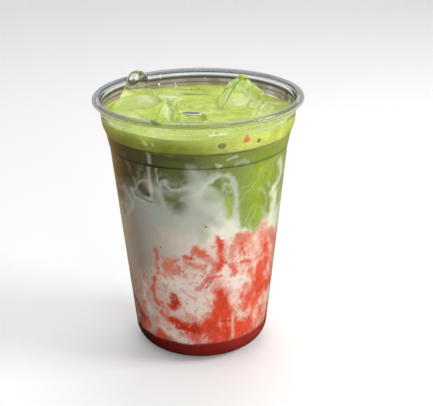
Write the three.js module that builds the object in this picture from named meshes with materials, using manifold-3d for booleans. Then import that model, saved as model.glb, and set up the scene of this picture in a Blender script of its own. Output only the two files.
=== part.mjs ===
// An iced strawberry matcha latte in its clear cup, in millimetres, +Z up.
// The origin is the middle of the base, on the surface the cup stands on. -Y is the front.
// The drink stands in layers that show through the wall: a dark syrup, strawberry pulp, milk,
// matcha and a matcha foam, with pieces of ice that float in the foam and stand out of it.

import * as THREE from "three";
import { mergeVertices } from "three/addons/utils/BufferGeometryUtils.js";
import Module from "manifold-3d";

const wasm = await Module();
wasm.setup();

// Driving dimensions of the cup
const CUP_HEIGHT = 124;
const RIM_RADIUS = 49;
const WALL = 0.6;
const BASE_RADIUS = 31.1; // where the straight wall would meet the table
const WALL_SLOPE = 0.1047; // outward, for each millimetre up
const BASE_CORNER = 11; // radius between the base and the wall
const FOOT_INNER_RADIUS = 15; // inside it the base is raised
const BASE_RAISE = 1.5;
const LIP_BEAD = 1.25; // radius of the rolled lip's outer edge
const LIP_HEIGHT = 2.6;
const LIP_INNER_RADIUS = 45.7;
const LIP_FLARE = { width: 0.6, drop: 0.5, height: 1.3 }; // the lip's inner edge, rounded down to the wall

// The two lines round the cup, where the wall steps out, and the shoulder above them
const LOWER_LINE = { height: 101.2, radius: 41.7, step: 0.3 };
const UPPER_LINE = { height: 108.2, radius: 43.3, step: 0.4 };
const SHOULDER_BEND = { height: 111.4, radius: 44.65 };
const SHOULDER = { height: 114, radius: 45.1 };
const STACKING_BEAD = { height: 117.5, radius: 45.2, out: 0.35, half: 1 };
const LINE_RISE = 0.6; // height over which a line's step is made
const NECK_RADIUS = 45.4; // under the lip

// Driving dimensions of the drink
const SYRUP_LEVEL = 9.6; // the middle of each layer's top
const STRAWBERRY_LEVEL = 49;
const MILK_LEVEL = 84;
const MATCHA_LEVEL = 108.2;
const FOAM_LEVEL = 115.3;
const GAP = 0.3; // between neighbouring pieces
const FACETS = 48; // round the cup and round each layer
const CORNER_STEPS = 4;
const BEAD_STEPS = 6;
const NOMINAL_RADIUS = 42; // turns a share of the radius into millimetres for the foam's mounds

const DEG = Math.PI / 180;

// The cup's body above the base corner, as height and outer radius
const bodyLine = [
  [BASE_CORNER, BASE_RADIUS + WALL_SLOPE * BASE_CORNER],
  [LOWER_LINE.height, LOWER_LINE.radius],
  [LOWER_LINE.height + LINE_RISE, LOWER_LINE.radius + LOWER_LINE.step],
  [UPPER_LINE.height, UPPER_LINE.radius],
  [UPPER_LINE.height + LINE_RISE, UPPER_LINE.radius + UPPER_LINE.step],
  [SHOULDER_BEND.height, SHOULDER_BEND.radius],
  [SHOULDER.height, SHOULDER.radius],
  [STACKING_BEAD.height - STACKING_BEAD.half, STACKING_BEAD.radius],
  [STACKING_BEAD.height, STACKING_BEAD.radius + STACKING_BEAD.out],
  [STACKING_BEAD.height + STACKING_BEAD.half, STACKING_BEAD.radius],
  [CUP_HEIGHT - LIP_HEIGHT, NECK_RADIUS],
];

const wallLean = Math.atan(WALL_SLOPE);
const cornerCentre =
  BASE_RADIUS +
  WALL_SLOPE * BASE_CORNER * (1 - Math.sin(wallLean)) -
  BASE_CORNER * Math.cos(wallLean);

/** Radius of the wall at a height, drawn in by inset from the outer face. */
function wallRadius(height, inset) {
  const bend = BASE_CORNER * (1 - Math.sin(wallLean));
  if (height < bend) {
    const rise = BASE_CORNER - Math.max(height, inset);
    return cornerCentre + Math.sqrt((BASE_CORNER - inset) ** 2 - rise ** 2);
  }
  const next = bodyLine.findIndex(([level]) => level > height);
  if (next === 0) return BASE_RADIUS + WALL_SLOPE * height - inset;
  const [lowLevel, lowRadius] = bodyLine[next < 0 ? bodyLine.length - 2 : next - 1];
  const [highLevel, highRadius] = bodyLine[next < 0 ? bodyLine.length - 1 : next];
  const share = Math.min((height - lowLevel) / (highLevel - lowLevel), 1);
  return THREE.MathUtils.lerp(lowRadius, highRadius, share) - inset;
}

/** Points of the rounded base corner, from the foot up to the wall, drawn in by inset. */
function cornerPoints(inset) {
  const points = [];
  for (let i = 0; i <= CORNER_STEPS; i++) {
    const turn = -Math.PI / 2 + (i / CORNER_STEPS) * (Math.PI / 2 - wallLean);
    const radius = BASE_CORNER - inset;
    points.push(
      new THREE.Vector2(cornerCentre + radius * Math.cos(turn), BASE_CORNER + radius * Math.sin(turn)),
    );
  }
  return points;
}

/** Points of the wall from above the base corner to under the lip, drawn in by inset. */
function bodyPoints(inset) {
  return bodyLine.slice(1).map(([height, radius]) => new THREE.Vector2(radius - inset, height));
}

/** Points of the rolled lip, from the wall outside it, over the top, to the wall inside it. */
function lipPoints() {
  const centre = new THREE.Vector2(RIM_RADIUS - LIP_BEAD, CUP_HEIGHT - LIP_BEAD);
  const points = [];
  for (let i = 0; i <= BEAD_STEPS; i++) {
    const turn = -Math.PI / 2 + (i / BEAD_STEPS) * Math.PI;
    points.push(
      new THREE.Vector2(centre.x + LIP_BEAD * Math.cos(turn), centre.y + LIP_BEAD * Math.sin(turn)),
    );
  }
  points.push(new THREE.Vector2(LIP_INNER_RADIUS + LIP_FLARE.width, CUP_HEIGHT));
  points.push(new THREE.Vector2(LIP_INNER_RADIUS, CUP_HEIGHT - LIP_FLARE.drop));
  points.push(new THREE.Vector2(NECK_RADIUS - WALL, CUP_HEIGHT - LIP_FLARE.height));
  return points;
}

/** The cup: one turned solid, open at the top, with its base raised inside the foot. */
function cupGeometry() {
  const raiseFoot = FOOT_INNER_RADIUS - BASE_RAISE;
  const profile = [
    new THREE.Vector2(0, BASE_RAISE),
    new THREE.Vector2(raiseFoot, BASE_RAISE),
    new THREE.Vector2(FOOT_INNER_RADIUS, 0),
    ...cornerPoints(0),
    ...bodyPoints(0),
    ...lipPoints(),
    ...bodyPoints(WALL).reverse(),
    ...cornerPoints(WALL).reverse(),
    new THREE.Vector2(FOOT_INNER_RADIUS, WALL),
    new THREE.Vector2(raiseFoot, BASE_RAISE + WALL),
    new THREE.Vector2(0, BASE_RAISE + WALL),
  ];
  return new THREE.LatheGeometry(profile, FACETS).rotateX(Math.PI / 2);
}

/** How strongly a swell centred on one side of the cup is felt at a bearing, both in degrees. */
function swell(bearing, centre, width) {
  const away = THREE.MathUtils.euclideanModulo(bearing - centre + 180, 360) - 180;
  return Math.exp(-((away / width) ** 2));
}

// The surfaces between the layers, as height against the bearing from the front, positive to
// the right, in degrees, and against the share of the radius.
const surfaces = {
  floor: (bearing, share) => (share < 0.75 ? BASE_RAISE + WALL : WALL) + GAP,
  syrupTop: (bearing, share) =>
    SYRUP_LEVEL + share * (1.6 * swell(bearing, 62, 30) - 1.4 * swell(bearing, -90, 35)),
  strawberryTop: (bearing, share) =>
    STRAWBERRY_LEVEL +
    share *
      (17.5 * swell(bearing, 38, 62) - 8 * swell(bearing, -85, 50) + 1.2 * wave(bearing, 9)),
  milkTop: (bearing, share) =>
    MILK_LEVEL +
    share *
      (7 * swell(bearing, -18, 38) -
        15.5 * swell(bearing, 48, 34) -
        7 * swell(bearing, -100, 40) +
        1.1 * wave(bearing, 8)),
  matchaTop: (bearing, share) => MATCHA_LEVEL + share * 0.4 * wave(bearing, 5),
  foamTop: (bearing, share) => {
    const x = share * NOMINAL_RADIUS * Math.sin(bearing * DEG);
    const y = -share * NOMINAL_RADIUS * Math.cos(bearing * DEG);
    const mounds = FOAM_MOUNDS.reduce(
      (sum, [mx, my, rise, width]) =>
        sum + rise * Math.exp(-((x - mx) ** 2 + (y - my) ** 2) / width ** 2),
      0,
    );
    const meniscus = 0.5 * share ** 8;
    return FOAM_LEVEL + mounds + meniscus + 0.25 * share * wave(bearing, 7);
  },
};

// Mounds of foam: x, y, rise and width
const FOAM_MOUNDS = [
  [-27, -8, 1.8, 9],
  [-4, 12, 1.2, 11],
  [12, 26, 1.4, 12],
  [22, -6, 0.8, 9],
  [34, 24, -1.3, 9],
];

/** A gentle wave with count crests round the cup. */
function wave(bearing, count) {
  return Math.sin(count * bearing * DEG) * (0.7 + 0.3 * Math.cos(bearing * DEG));
}

/** A layer of the drink: a turned unit solid, stretched between two surfaces and out to the wall. */
function layerGeometry(bottomAt, topAt, rings, wallSteps) {
  const profile = rings.map((share) => new THREE.Vector2(share, 0));
  for (let i = 1; i < wallSteps; i++) profile.push(new THREE.Vector2(1, i / wallSteps));
  profile.push(...rings.map((share) => new THREE.Vector2(share, 1)).reverse());
  const geometry = new THREE.LatheGeometry(profile, FACETS).rotateX(Math.PI / 2);
  const position = geometry.getAttribute("position");
  for (let i = 0; i < position.count; i++) {
    const [x, y, level] = [position.getX(i), position.getY(i), position.getZ(i)];
    const share = Math.hypot(x, y);
    const bearing = share > 1e-6 ? Math.atan2(x, -y) / DEG : 0;
    const low = bottomAt(bearing, share) + GAP / 2;
    const high = topAt(bearing, share) - GAP / 2;
    const height = THREE.MathUtils.lerp(low, high, level);
    const stretch = wallRadius(height, WALL + GAP);
    position.setXYZ(i, x * stretch, y * stretch, height);
  }
  return geometry;
}

/** A block of ice about its own centre: a box with its corners melted round, narrower at its ends. */
function blockGeometry({ size, squareness, narrowTop, narrowFoot, seed }, grow) {
  const geometry = new THREE.BoxGeometry(2, 2, 2, BLOCK_STEPS, BLOCK_STEPS, BLOCK_STEPS);
  const position = geometry.getAttribute("position");
  const p = new THREE.Vector3();
  for (let i = 0; i < position.count; i++) {
    p.fromBufferAttribute(position, i);
    const sum = Math.abs(p.x) ** squareness + Math.abs(p.y) ** squareness + Math.abs(p.z) ** squareness;
    p.multiplyScalar(sum ** (-1 / squareness));
    const melt = 1 + MELT * Math.sin(3.1 * p.x + seed) * Math.cos(2.7 * p.y - seed) * Math.sin(2.3 * p.z + 1);
    const narrow = 1 - (p.z > 0 ? narrowTop : narrowFoot) * p.z ** 2;
    position.setXYZ(
      i,
      p.x * melt * narrow * (size[0] / 2 + grow),
      p.y * melt * narrow * (size[1] / 2 + grow),
      p.z * melt * (size[2] / 2 + grow),
    );
  }
  return geometry;
}

const BLOCK_STEPS = 4; // faces along each edge of a block of ice
const MELT = 0.03; // unevenness of its faces, as a share of its size

/** A block of ice: where it lies, its size, its turn about X, Y and Z in degrees, and its form. */
function block(at, size, turn, form) {
  return { at, size, turn, squareness: 7, narrowTop: 0.1, narrowFoot: 0.12, ...form };
}

// One block stands on a corner: two of its faces meet in the long ridge that runs up to the tip.
const CORNER_TURN = [60, 25, 57];
const SHARP = { squareness: 20, narrowTop: 0.03, narrowFoot: 0.05 };
const MELTED = { squareness: 4.5, narrowTop: 0.3, narrowFoot: 0.3 };
const KNOB = { squareness: 3, narrowTop: 0.12 };

// The pieces of ice that stand out of the foam, each of one block or of blocks frozen together
const ICE = [
  {
    name: "ice_crown",
    blocks: [
      block([-28.7, 12.7, 109.8], [21, 25, 21], [-3, -3, -25], { ...MELTED, seed: 1 }),
      block([-28.9, 20.5, 120], [12, 12.5, 20], [-4, 2, 0], { ...KNOB, seed: 2 }),
    ],
  },
  {
    name: "ice_ridge",
    blocks: [block([-14.2, -2.5, 110], [8, 18, 19], [13, 4, -6], { seed: 3 })],
  },
  {
    name: "ice_slab",
    blocks: [block([-5.6, 30, 107.4], [26, 11.5, 19], [4, 2, -7], { squareness: 8, seed: 4 })],
  },
  {
    name: "ice_hollow",
    blocks: [block([-3.9, -15.2, 110], [13, 13, 18], [-6, 3, -30], { narrowTop: 0.06, seed: 5 })],
    hollow: { at: [-3.2, -14.9, 120], size: [5, 3.4, 3.2], turn: -20 },
  },
  {
    name: "ice_corner",
    blocks: [
      block([18.9, 15.8, 114.8], [20, 15, 16], CORNER_TURN, { ...SHARP, seed: 6 }),
      block([29.2, 6.2, 108.8], [13, 21, 17], [-4, 6, 33], { squareness: 6, seed: 7 }),
    ],
  },
];

/** A manifold solid of a geometry, in the group's own space. */
function solidOf(geometry, matrix = new THREE.Matrix4()) {
  const bare = geometry.clone().applyMatrix4(matrix);
  bare.deleteAttribute("normal");
  bare.deleteAttribute("uv");
  const merged = mergeVertices(bare, 1e-3);
  return new wasm.Manifold(
    new wasm.Mesh({
      numProp: 3,
      vertProperties: merged.getAttribute("position").array,
      triVerts: new Uint32Array(merged.index.array),
    }),
  );
}

/** A geometry of a manifold solid. */
function geometryOf(solid) {
  const { vertProperties, triVerts } = solid.getMesh();
  const geometry = new THREE.BufferGeometry()
    .setAttribute("position", new THREE.BufferAttribute(vertProperties, 3))
    .setIndex(new THREE.BufferAttribute(triVerts, 1));
  geometry.computeVertexNormals();
  return geometry;
}

/** The matrix that puts a piece at a place, turned about X, Y and Z in degrees. */
function placing(at, turn) {
  const euler = new THREE.Euler(...turn.map((angle) => angle * DEG));
  return new THREE.Matrix4().makeRotationFromEuler(euler).setPosition(new THREE.Vector3(...at));
}

/** A piece of ice in the group's own space, its blocks joined, each grown by grow all round. */
function iceSolid({ blocks }, grow = 0) {
  return blocks
    .map((one) => solidOf(blockGeometry(one, grow), placing(one.at, one.turn)))
    .reduce((joined, next) => joined.add(next));
}

/** The hollow melted into the top of one piece of ice. */
function hollowSolid({ at, size, turn }) {
  return solidOf(new THREE.SphereGeometry(1, 12, 8).scale(...size), placing(at, [0, 0, turn]));
}

/** A drink layer with room cut for every piece of ice that reaches into it. */
function cutRoundIce(geometry) {
  const room = ICE.reduce((left, ice) => left.subtract(iceSolid(ice, GAP)), solidOf(geometry));
  return geometryOf(room);
}

const finish = {
  clear: new THREE.MeshStandardMaterial({
    color: 0xe6ebee,
    roughness: 0.05,
    metalness: 0,
    transparent: true,
    opacity: 0.25,
  }),
  syrup: new THREE.MeshStandardMaterial({ color: 0x8e2a2c, roughness: 0.35, metalness: 0 }),
  strawberry: new THREE.MeshStandardMaterial({ color: 0xd97a6c, roughness: 0.45, metalness: 0 }),
  milk: new THREE.MeshStandardMaterial({ color: 0xd6cfc0, roughness: 0.4, metalness: 0 }),
  matcha: new THREE.MeshStandardMaterial({ color: 0x8c9a3f, roughness: 0.4, metalness: 0 }),
  foam: new THREE.MeshStandardMaterial({ color: 0xb9cc4a, roughness: 0.55, metalness: 0 }),
  ice: new THREE.MeshStandardMaterial({
    color: 0xe3ecd8,
    roughness: 0.1,
    metalness: 0,
    transparent: true,
    opacity: 0.5,
  }),
};

const latte = new THREE.Group();

/** Adds one named piece to the drink. */
function addPiece(name, geometry, material) {
  const mesh = new THREE.Mesh(geometry, material);
  mesh.name = name;
  latte.add(mesh);
  return mesh;
}

const SURFACE_RINGS = [0, 0.45, 0.8, 1];
const FLOOR_RINGS = [0, 0.69, 0.8, 1];
const FOAM_RINGS = [0, 0.25, 0.5, 0.7, 0.88, 1];

addPiece("cup", cupGeometry(), finish.clear);
addPiece(
  "strawberry_syrup",
  layerGeometry(surfaces.floor, surfaces.syrupTop, FLOOR_RINGS, 4),
  finish.syrup,
);
addPiece(
  "strawberry_pulp",
  layerGeometry(surfaces.syrupTop, surfaces.strawberryTop, SURFACE_RINGS, 2),
  finish.strawberry,
);
addPiece(
  "milk",
  layerGeometry(surfaces.strawberryTop, surfaces.milkTop, SURFACE_RINGS, 2),
  finish.milk,
);
addPiece(
  "matcha",
  cutRoundIce(layerGeometry(surfaces.milkTop, surfaces.matchaTop, SURFACE_RINGS, 4)),
  finish.matcha,
);
addPiece(
  "matcha_foam",
  cutRoundIce(layerGeometry(surfaces.matchaTop, surfaces.foamTop, FOAM_RINGS, 4)),
  finish.foam,
);

// Each piece of ice is modelled about its own first block's place, and set there.
for (const ice of ICE) {
  const solid = ice.hollow ? iceSolid(ice).subtract(hollowSolid(ice.hollow)) : iceSolid(ice);
  const place = new THREE.Vector3(...ice.blocks[0].at);
  const geometry = geometryOf(solid).translate(-place.x, -place.y, -place.z);
  addPiece(ice.name, geometry, finish.ice).position.copy(place);
}

export default latte;
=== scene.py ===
"""An iced strawberry matcha latte in its clear cup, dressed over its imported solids.

Lengths are in millimetres and bearings in degrees from the front, positive to the right, as in the
part's source. They become metres where a mesh is made.
"""

import itertools
import logging
import math
from collections.abc import Callable, Sequence
from dataclasses import dataclass, field
from enum import Enum

import bmesh
import bpy
import numpy as np
from mathutils import Euler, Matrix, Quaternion, Vector

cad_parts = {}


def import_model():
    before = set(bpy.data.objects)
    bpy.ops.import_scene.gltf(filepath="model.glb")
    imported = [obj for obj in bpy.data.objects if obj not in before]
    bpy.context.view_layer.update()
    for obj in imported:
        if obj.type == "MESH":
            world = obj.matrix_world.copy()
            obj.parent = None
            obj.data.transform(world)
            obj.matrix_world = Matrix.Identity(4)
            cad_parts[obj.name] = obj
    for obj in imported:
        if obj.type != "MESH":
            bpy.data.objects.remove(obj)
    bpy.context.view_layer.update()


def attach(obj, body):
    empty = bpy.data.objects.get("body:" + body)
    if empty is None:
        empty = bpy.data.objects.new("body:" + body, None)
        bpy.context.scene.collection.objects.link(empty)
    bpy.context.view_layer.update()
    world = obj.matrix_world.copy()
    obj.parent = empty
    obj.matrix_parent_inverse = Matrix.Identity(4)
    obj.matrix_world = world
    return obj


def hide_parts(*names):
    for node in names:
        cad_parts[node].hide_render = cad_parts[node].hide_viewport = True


LOG = logging.getLogger("latte")
MM = 0.001
INTO_WALL = 0.12  # how far the drink reaches into the wall, so that no air gap shows
MM_PER_DEGREE = math.radians(1) * 38  # round the wall, where its radius is 38
NOMINAL_RADIUS = 42  # turns a share of the radius into millimetres for the foam's mounds
SHARP_ANGLE = 42  # an edge that turns by more degrees than this stays sharp
DRINK_IOR = 1.36  # about that of milk and of sugar water

# The middle of each layer's top
SYRUP_LEVEL = 9.6
STRAWBERRY_LEVEL = 49
MILK_LEVEL = 84
MATCHA_LEVEL = 108.2
FOAM_LEVEL = 115.3

# The two lines moulded round the cup: height, and how strongly painted shade darkens the drink's
# colour behind each
MOULDED_LINE_SHADE = ((101.5, 0.65), (108.5, 0.75))

Height = Callable[[np.ndarray, np.ndarray], np.ndarray]


def linear(code: str) -> np.ndarray:
    """Turns an sRGB colour into linear light.

    Args:
        code: The colour as six hex digits.

    Returns:
        Its three linear values.
    """
    part = np.array([int(code[i : i + 2], 16) for i in (0, 2, 4)]) / 255
    return np.where(part <= 0.04045, part / 12.92, ((part + 0.055) / 1.055) ** 2.4)


def rgba(code: str) -> tuple[float, float, float, float]:
    """The linear colour of an sRGB hex code, with full alpha."""
    red, green, blue = linear(code)
    return (float(red), float(green), float(blue), 1.0)


def ease(low: float | np.ndarray, high: float | np.ndarray, value: np.ndarray) -> np.ndarray:
    """Smooth step from 0 at low to 1 at high."""
    t = np.clip((value - low) / (high - low), 0, 1)
    return t * t * (3 - 2 * t)


def add_node(
    tree: bpy.types.NodeTree, kind: str, inputs: dict | None = None, **settings: object
) -> bpy.types.Node:
    """Adds a node with its settings and links.

    Args:
        tree: The tree that gets the node.
        kind: The node's type.
        inputs: Value or linked socket for each input, by name or number.
        settings: The node's own properties.

    Returns:
        The new node.
    """
    made = tree.nodes.new(kind)
    for name, value in settings.items():
        setattr(made, name, value)
    for name, value in (inputs or {}).items():
        if isinstance(value, bpy.types.NodeSocket):
            tree.links.new(value, made.inputs[name])
        else:
            made.inputs[name].default_value = value
    return made


class Grain:
    """Seeded smooth noise in space, from -1 to 1, for the drink's colours and the ice."""

    def __init__(self, seed: int) -> None:
        """Fills the lattice for one seed."""
        self.lattice = np.random.default_rng(seed).uniform(-1, 1, (32, 32, 32))

    def smooth(self, points: np.ndarray, size: float) -> np.ndarray:
        """Noise whose blobs are about size millimetres across.

        Args:
            points: Places, one row each.
            size: Spacing of the lattice.

        Returns:
            One value for each place.
        """
        scaled = points / size + 11.3
        cell = np.floor(scaled).astype(int)
        part = scaled - cell
        part = part * part * (3 - 2 * part)
        total = np.zeros(len(points))
        for corner in itertools.product((0, 1), repeat=3):
            weight = np.prod(np.where(corner, part, 1 - part), axis=1)
            total += weight * self.lattice[tuple(((cell + corner) % 32).T)]
        return total

    def rough(self, points: np.ndarray, size: float, layers: int = 3) -> np.ndarray:
        """Noise with finer noise on it, each layer half the size and strength of the last."""
        return sum(self.smooth(points + 17.7 * i, size / 2**i) / 2**i for i in range(layers))


def smooth(mesh: bpy.types.Mesh) -> None:
    """Shades a mesh smooth, but for its sharp edges."""
    mesh.shade_smooth()
    mesh.set_sharp_from_angle(angle=math.radians(SHARP_ANGLE))


def make_piece(
    name: str,
    points: np.ndarray,
    faces: Sequence,
    finish: bpy.types.Material | None,
    attributes: dict[str, np.ndarray] | None = None,
) -> bpy.types.Object:
    """Makes a smooth-shaded mesh object at the origin.

    Args:
        name: The piece's name.
        points: Vertices in millimetres.
        faces: Rows of vertex numbers.
        finish: Its material.
        attributes: Values at the vertices, as numbers or as linear colours.

    Returns:
        The object, linked to the scene.
    """
    mesh = bpy.data.meshes.new(name)
    listed = faces if isinstance(faces, list) else faces.tolist()
    mesh.from_pydata(np.asarray(points, float) * MM, [], listed)
    for key, values in (attributes or {}).items():
        if values.ndim == 2:
            layer = mesh.attributes.new(key, "FLOAT_COLOR", "POINT")
            colours = np.c_[values, np.ones(len(values))].astype(np.float32)
            layer.data.foreach_set("color", colours.ravel())
        else:
            layer = mesh.attributes.new(key, "FLOAT", "POINT")
            layer.data.foreach_set("value", values.astype(np.float32))
    work = bmesh.new()
    work.from_mesh(mesh)
    bmesh.ops.remove_doubles(work, verts=work.verts, dist=1e-7)
    work.to_mesh(mesh)
    work.free()
    smooth(mesh)
    if finish:
        mesh.materials.append(finish)
    piece = bpy.data.objects.new(name, mesh)
    bpy.context.scene.collection.objects.link(piece)
    return piece


def grid_faces(rows: int, columns: int) -> np.ndarray:
    """Quads of a grid of rows that each close into a ring.

    Args:
        rows: Number of rings.
        columns: Points in each ring.

    Returns:
        One row of four vertex numbers for each face.
    """
    row = np.arange(rows - 1)[:, None]
    column = np.arange(columns)[None, :]
    up, along = row + 1, (column + 1) % columns
    return np.stack(
        [row * columns + column, row * columns + along, up * columns + along,
         up * columns + column], -1
    ).reshape(-1, 4)


def settle(piece: bpy.types.Object, slot: str, *nodes: str) -> None:
    """Puts a piece on the body and hides the solids it stands for.

    Args:
        piece: The finished piece.
        slot: The record's material slot that it takes its finish from. Not used.
        nodes: The solids that it replaces, if any.
    """
    if nodes:
        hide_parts(*nodes)
    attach(piece, "root")
    LOG.info("%s: %d faces", piece.name, len(piece.data.polygons))


@dataclass(frozen=True)
class CupSizes:
    """The cup's sizes, as in the part's source."""

    height: float = 124
    rim_radius: float = 49
    wall: float = 0.6
    base_radius: float = 31.1
    slope: float = 0.1047
    corner: float = 11
    foot_inner: float = 15
    base_raise: float = 1.5
    lip_bead: float = 1.25
    # Height and outer radius of the body above the base corner
    body: tuple = (
        (11, 32.25), (101.2, 41.7), (101.8, 42.0), (108.2, 43.3), (108.8, 43.7), (111.4, 44.65),
        (114, 45.1), (116.5, 45.2), (117.5, 45.55), (118.5, 45.2), (121.4, 45.4),
    )

    @property
    def lean(self) -> float:
        """Angle of the wall from upright."""
        return math.atan(self.slope)

    @property
    def corner_centre(self) -> float:
        """Radius at which the base corner's arc is centred."""
        rise = self.slope * self.corner * (1 - math.sin(self.lean))
        return self.base_radius + rise - self.corner * math.cos(self.lean)

    def radius(self, height: np.ndarray, inset: float) -> np.ndarray:
        """Radius of the wall, drawn in from its outer face.

        Args:
            height: Heights above the table.
            inset: How far to draw in.

        Returns:
            The radius at each height.
        """
        height = np.asarray(height, float)
        drop = self.corner - np.maximum(height, inset)
        arc = self.corner_centre + np.sqrt(np.maximum((self.corner - inset) ** 2 - drop**2, 0))
        levels, radii = zip(*self.body)
        straight = np.interp(height, levels, radii) - inset
        below = self.base_radius + self.slope * height - inset
        bend = self.corner * (1 - math.sin(self.lean))
        return np.where(height < bend, arc, np.where(height < self.corner, below, straight))


CUP = CupSizes()


def swell(bearing: np.ndarray, centre: float, width: float) -> np.ndarray:
    """How strongly a swell centred on one side of the cup is felt at a bearing."""
    away = (bearing - centre + 180) % 360 - 180
    return np.exp(-((away / width) ** 2))


def wave(bearing: np.ndarray, count: int) -> np.ndarray:
    """A gentle wave with count crests round the cup."""
    return np.sin(np.radians(count * bearing)) * (0.7 + 0.3 * np.cos(np.radians(bearing)))


def inner_floor(bearing: np.ndarray, share: np.ndarray) -> np.ndarray:
    """The cup's floor, raised inside its foot."""
    return np.where(share < 0.75, CUP.base_raise + CUP.wall, CUP.wall) - INTO_WALL


def syrup_top(bearing: np.ndarray, share: np.ndarray) -> np.ndarray:
    """Top of the syrup."""
    return SYRUP_LEVEL + share * (1.6 * swell(bearing, 62, 30) - 1.4 * swell(bearing, -90, 35))


def strawberry_top(bearing: np.ndarray, share: np.ndarray) -> np.ndarray:
    """Top of the strawberry pulp."""
    lift = 17.5 * swell(bearing, 38, 62) - 8 * swell(bearing, -85, 50) + 1.2 * wave(bearing, 9)
    return STRAWBERRY_LEVEL + share * lift


def milk_top(bearing: np.ndarray, share: np.ndarray) -> np.ndarray:
    """Top of the milk."""
    lift = (
        7 * swell(bearing, -18, 38) - 15.5 * swell(bearing, 48, 34) - 7 * swell(bearing, -100, 40)
    )
    return MILK_LEVEL + share * (lift + 1.1 * wave(bearing, 8))


def matcha_top(bearing: np.ndarray, share: np.ndarray) -> np.ndarray:
    """Top of the matcha, under its foam."""
    return MATCHA_LEVEL + share * 0.4 * wave(bearing, 5)


def foam_top(bearing: np.ndarray, share: np.ndarray) -> np.ndarray:
    """Top of the foam, with its mounds and its meniscus.

    Args:
        bearing: Bearings of the places.
        share: Their share of the way out to the wall.

    Returns:
        The height at each place.
    """
    x = share * NOMINAL_RADIUS * np.sin(np.radians(bearing))
    y = -share * NOMINAL_RADIUS * np.cos(np.radians(bearing))
    mounds = sum(
        rise * np.exp(-((x - mx) ** 2 + (y - my) ** 2) / width**2)
        for mx, my, rise, width in (
            (-27, -8, 1.8, 9), (-4, 12, 1.2, 11), (12, 26, 1.4, 12), (22, -6, 0.8, 9),
            (34, 24, -1.3, 9)
        )
    )
    return FOAM_LEVEL + mounds + 0.5 * share**8 + 0.25 * share * wave(bearing, 7)


@dataclass(frozen=True)
class IceBlock:
    """A block of ice: a box with its corners melted round, narrower at its ends."""

    centre: tuple[float, float, float]
    size: tuple[float, float, float]
    turn: tuple[float, float, float]
    squareness: float = 7
    narrow_top: float = 0.1
    narrow_foot: float = 0.12
    seed: int = 0
    dimples: float = 1.0

    @property
    def rotation(self) -> np.ndarray:
        """Its turn as a matrix, about X, then the turned Y, then the turned Z.

        Returns:
            The three rows of the matrix.
        """
        x, y, z = (np.array(Euler(tuple(np.radians(t) * k for k in axis)).to_matrix())
                   for t, axis in zip(self.turn, ((1, 0, 0), (0, 1, 0), (0, 0, 1))))
        return x @ y @ z

    def surface(self, steps: int, dent: float) -> tuple[np.ndarray, np.ndarray]:
        """The block's skin.

        Args:
            steps: Faces along each edge.
            dent: Depth of the melted dimples.

        Returns:
            Its points, and its faces as rows of four.
        """
        ticks = np.linspace(-1, 1, steps + 1)
        u, v = np.meshgrid(ticks, ticks, indexing="ij")
        sides, faces = [], []
        quad = grid_faces(steps + 1, steps + 1).reshape(steps, steps + 1, 4)
        quad = quad[:, :steps].reshape(-1, 4)
        for axis, sign in itertools.product(range(3), (-1, 1)):
            side = np.empty((len(u.ravel()), 3))
            side[:, axis] = sign
            side[:, (axis + 1) % 3] = u.ravel()
            side[:, (axis + 2) % 3] = v.ravel()
            faces.append((quad if sign < 0 else quad[:, ::-1])[:, ::-1] + len(side) * len(sides))
            sides.append(side)
        p = np.concatenate(sides)
        p /= (np.abs(p) ** self.squareness).sum(1, keepdims=True) ** (1 / self.squareness)
        x, y, z = p.T
        melt = 1 + (
            0.03 * np.sin(3.1 * x + self.seed) * np.cos(2.7 * y - self.seed) * np.sin(2.3 * z + 1)
        )
        narrow = 1 - np.where(z > 0, self.narrow_top, self.narrow_foot) * z**2
        shape = np.c_[x * melt * narrow, y * melt * narrow, z * melt] * np.array(self.size) / 2
        away = shape / np.linalg.norm(shape, axis=1, keepdims=True)
        noise = Grain(40 + self.seed)
        lumps = noise.smooth(shape, 5.0) + 0.35 * noise.smooth(shape, 1.6) - 0.6
        shape += away * dent * self.dimples * lumps[:, None]
        return shape @ self.rotation.T + np.array(self.centre), np.concatenate(faces)

    def depth(self, points: np.ndarray) -> np.ndarray:
        """How far inside the block each place is.

        Args:
            points: Places, one row each.

        Returns:
            Millimetres inside it, negative outside.
        """
        local = (points - np.array(self.centre)) @ self.rotation
        half = np.array(self.size) / 2
        unit = local / half
        z = np.clip(unit[:, 2], -1, 1)
        narrow = 1 - np.where(z > 0, self.narrow_top, self.narrow_foot) * z**2
        unit[:, :2] /= narrow[:, None]
        level = (np.abs(unit) ** self.squareness).sum(1) ** (1 / self.squareness)
        return (1 - level) * half.min()


KNOB = {"squareness": 3, "narrow_top": 0.12, "dimples": 3.2}
NECK = {"squareness": 2.6, "narrow_top": 0.3, "narrow_foot": 0.0, "dimples": 2.0}
MELTED = {"squareness": 4.5, "narrow_top": 0.3, "narrow_foot": 0.3}
SHARP = {"squareness": 20, "narrow_top": 0.03, "narrow_foot": 0.05}

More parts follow.
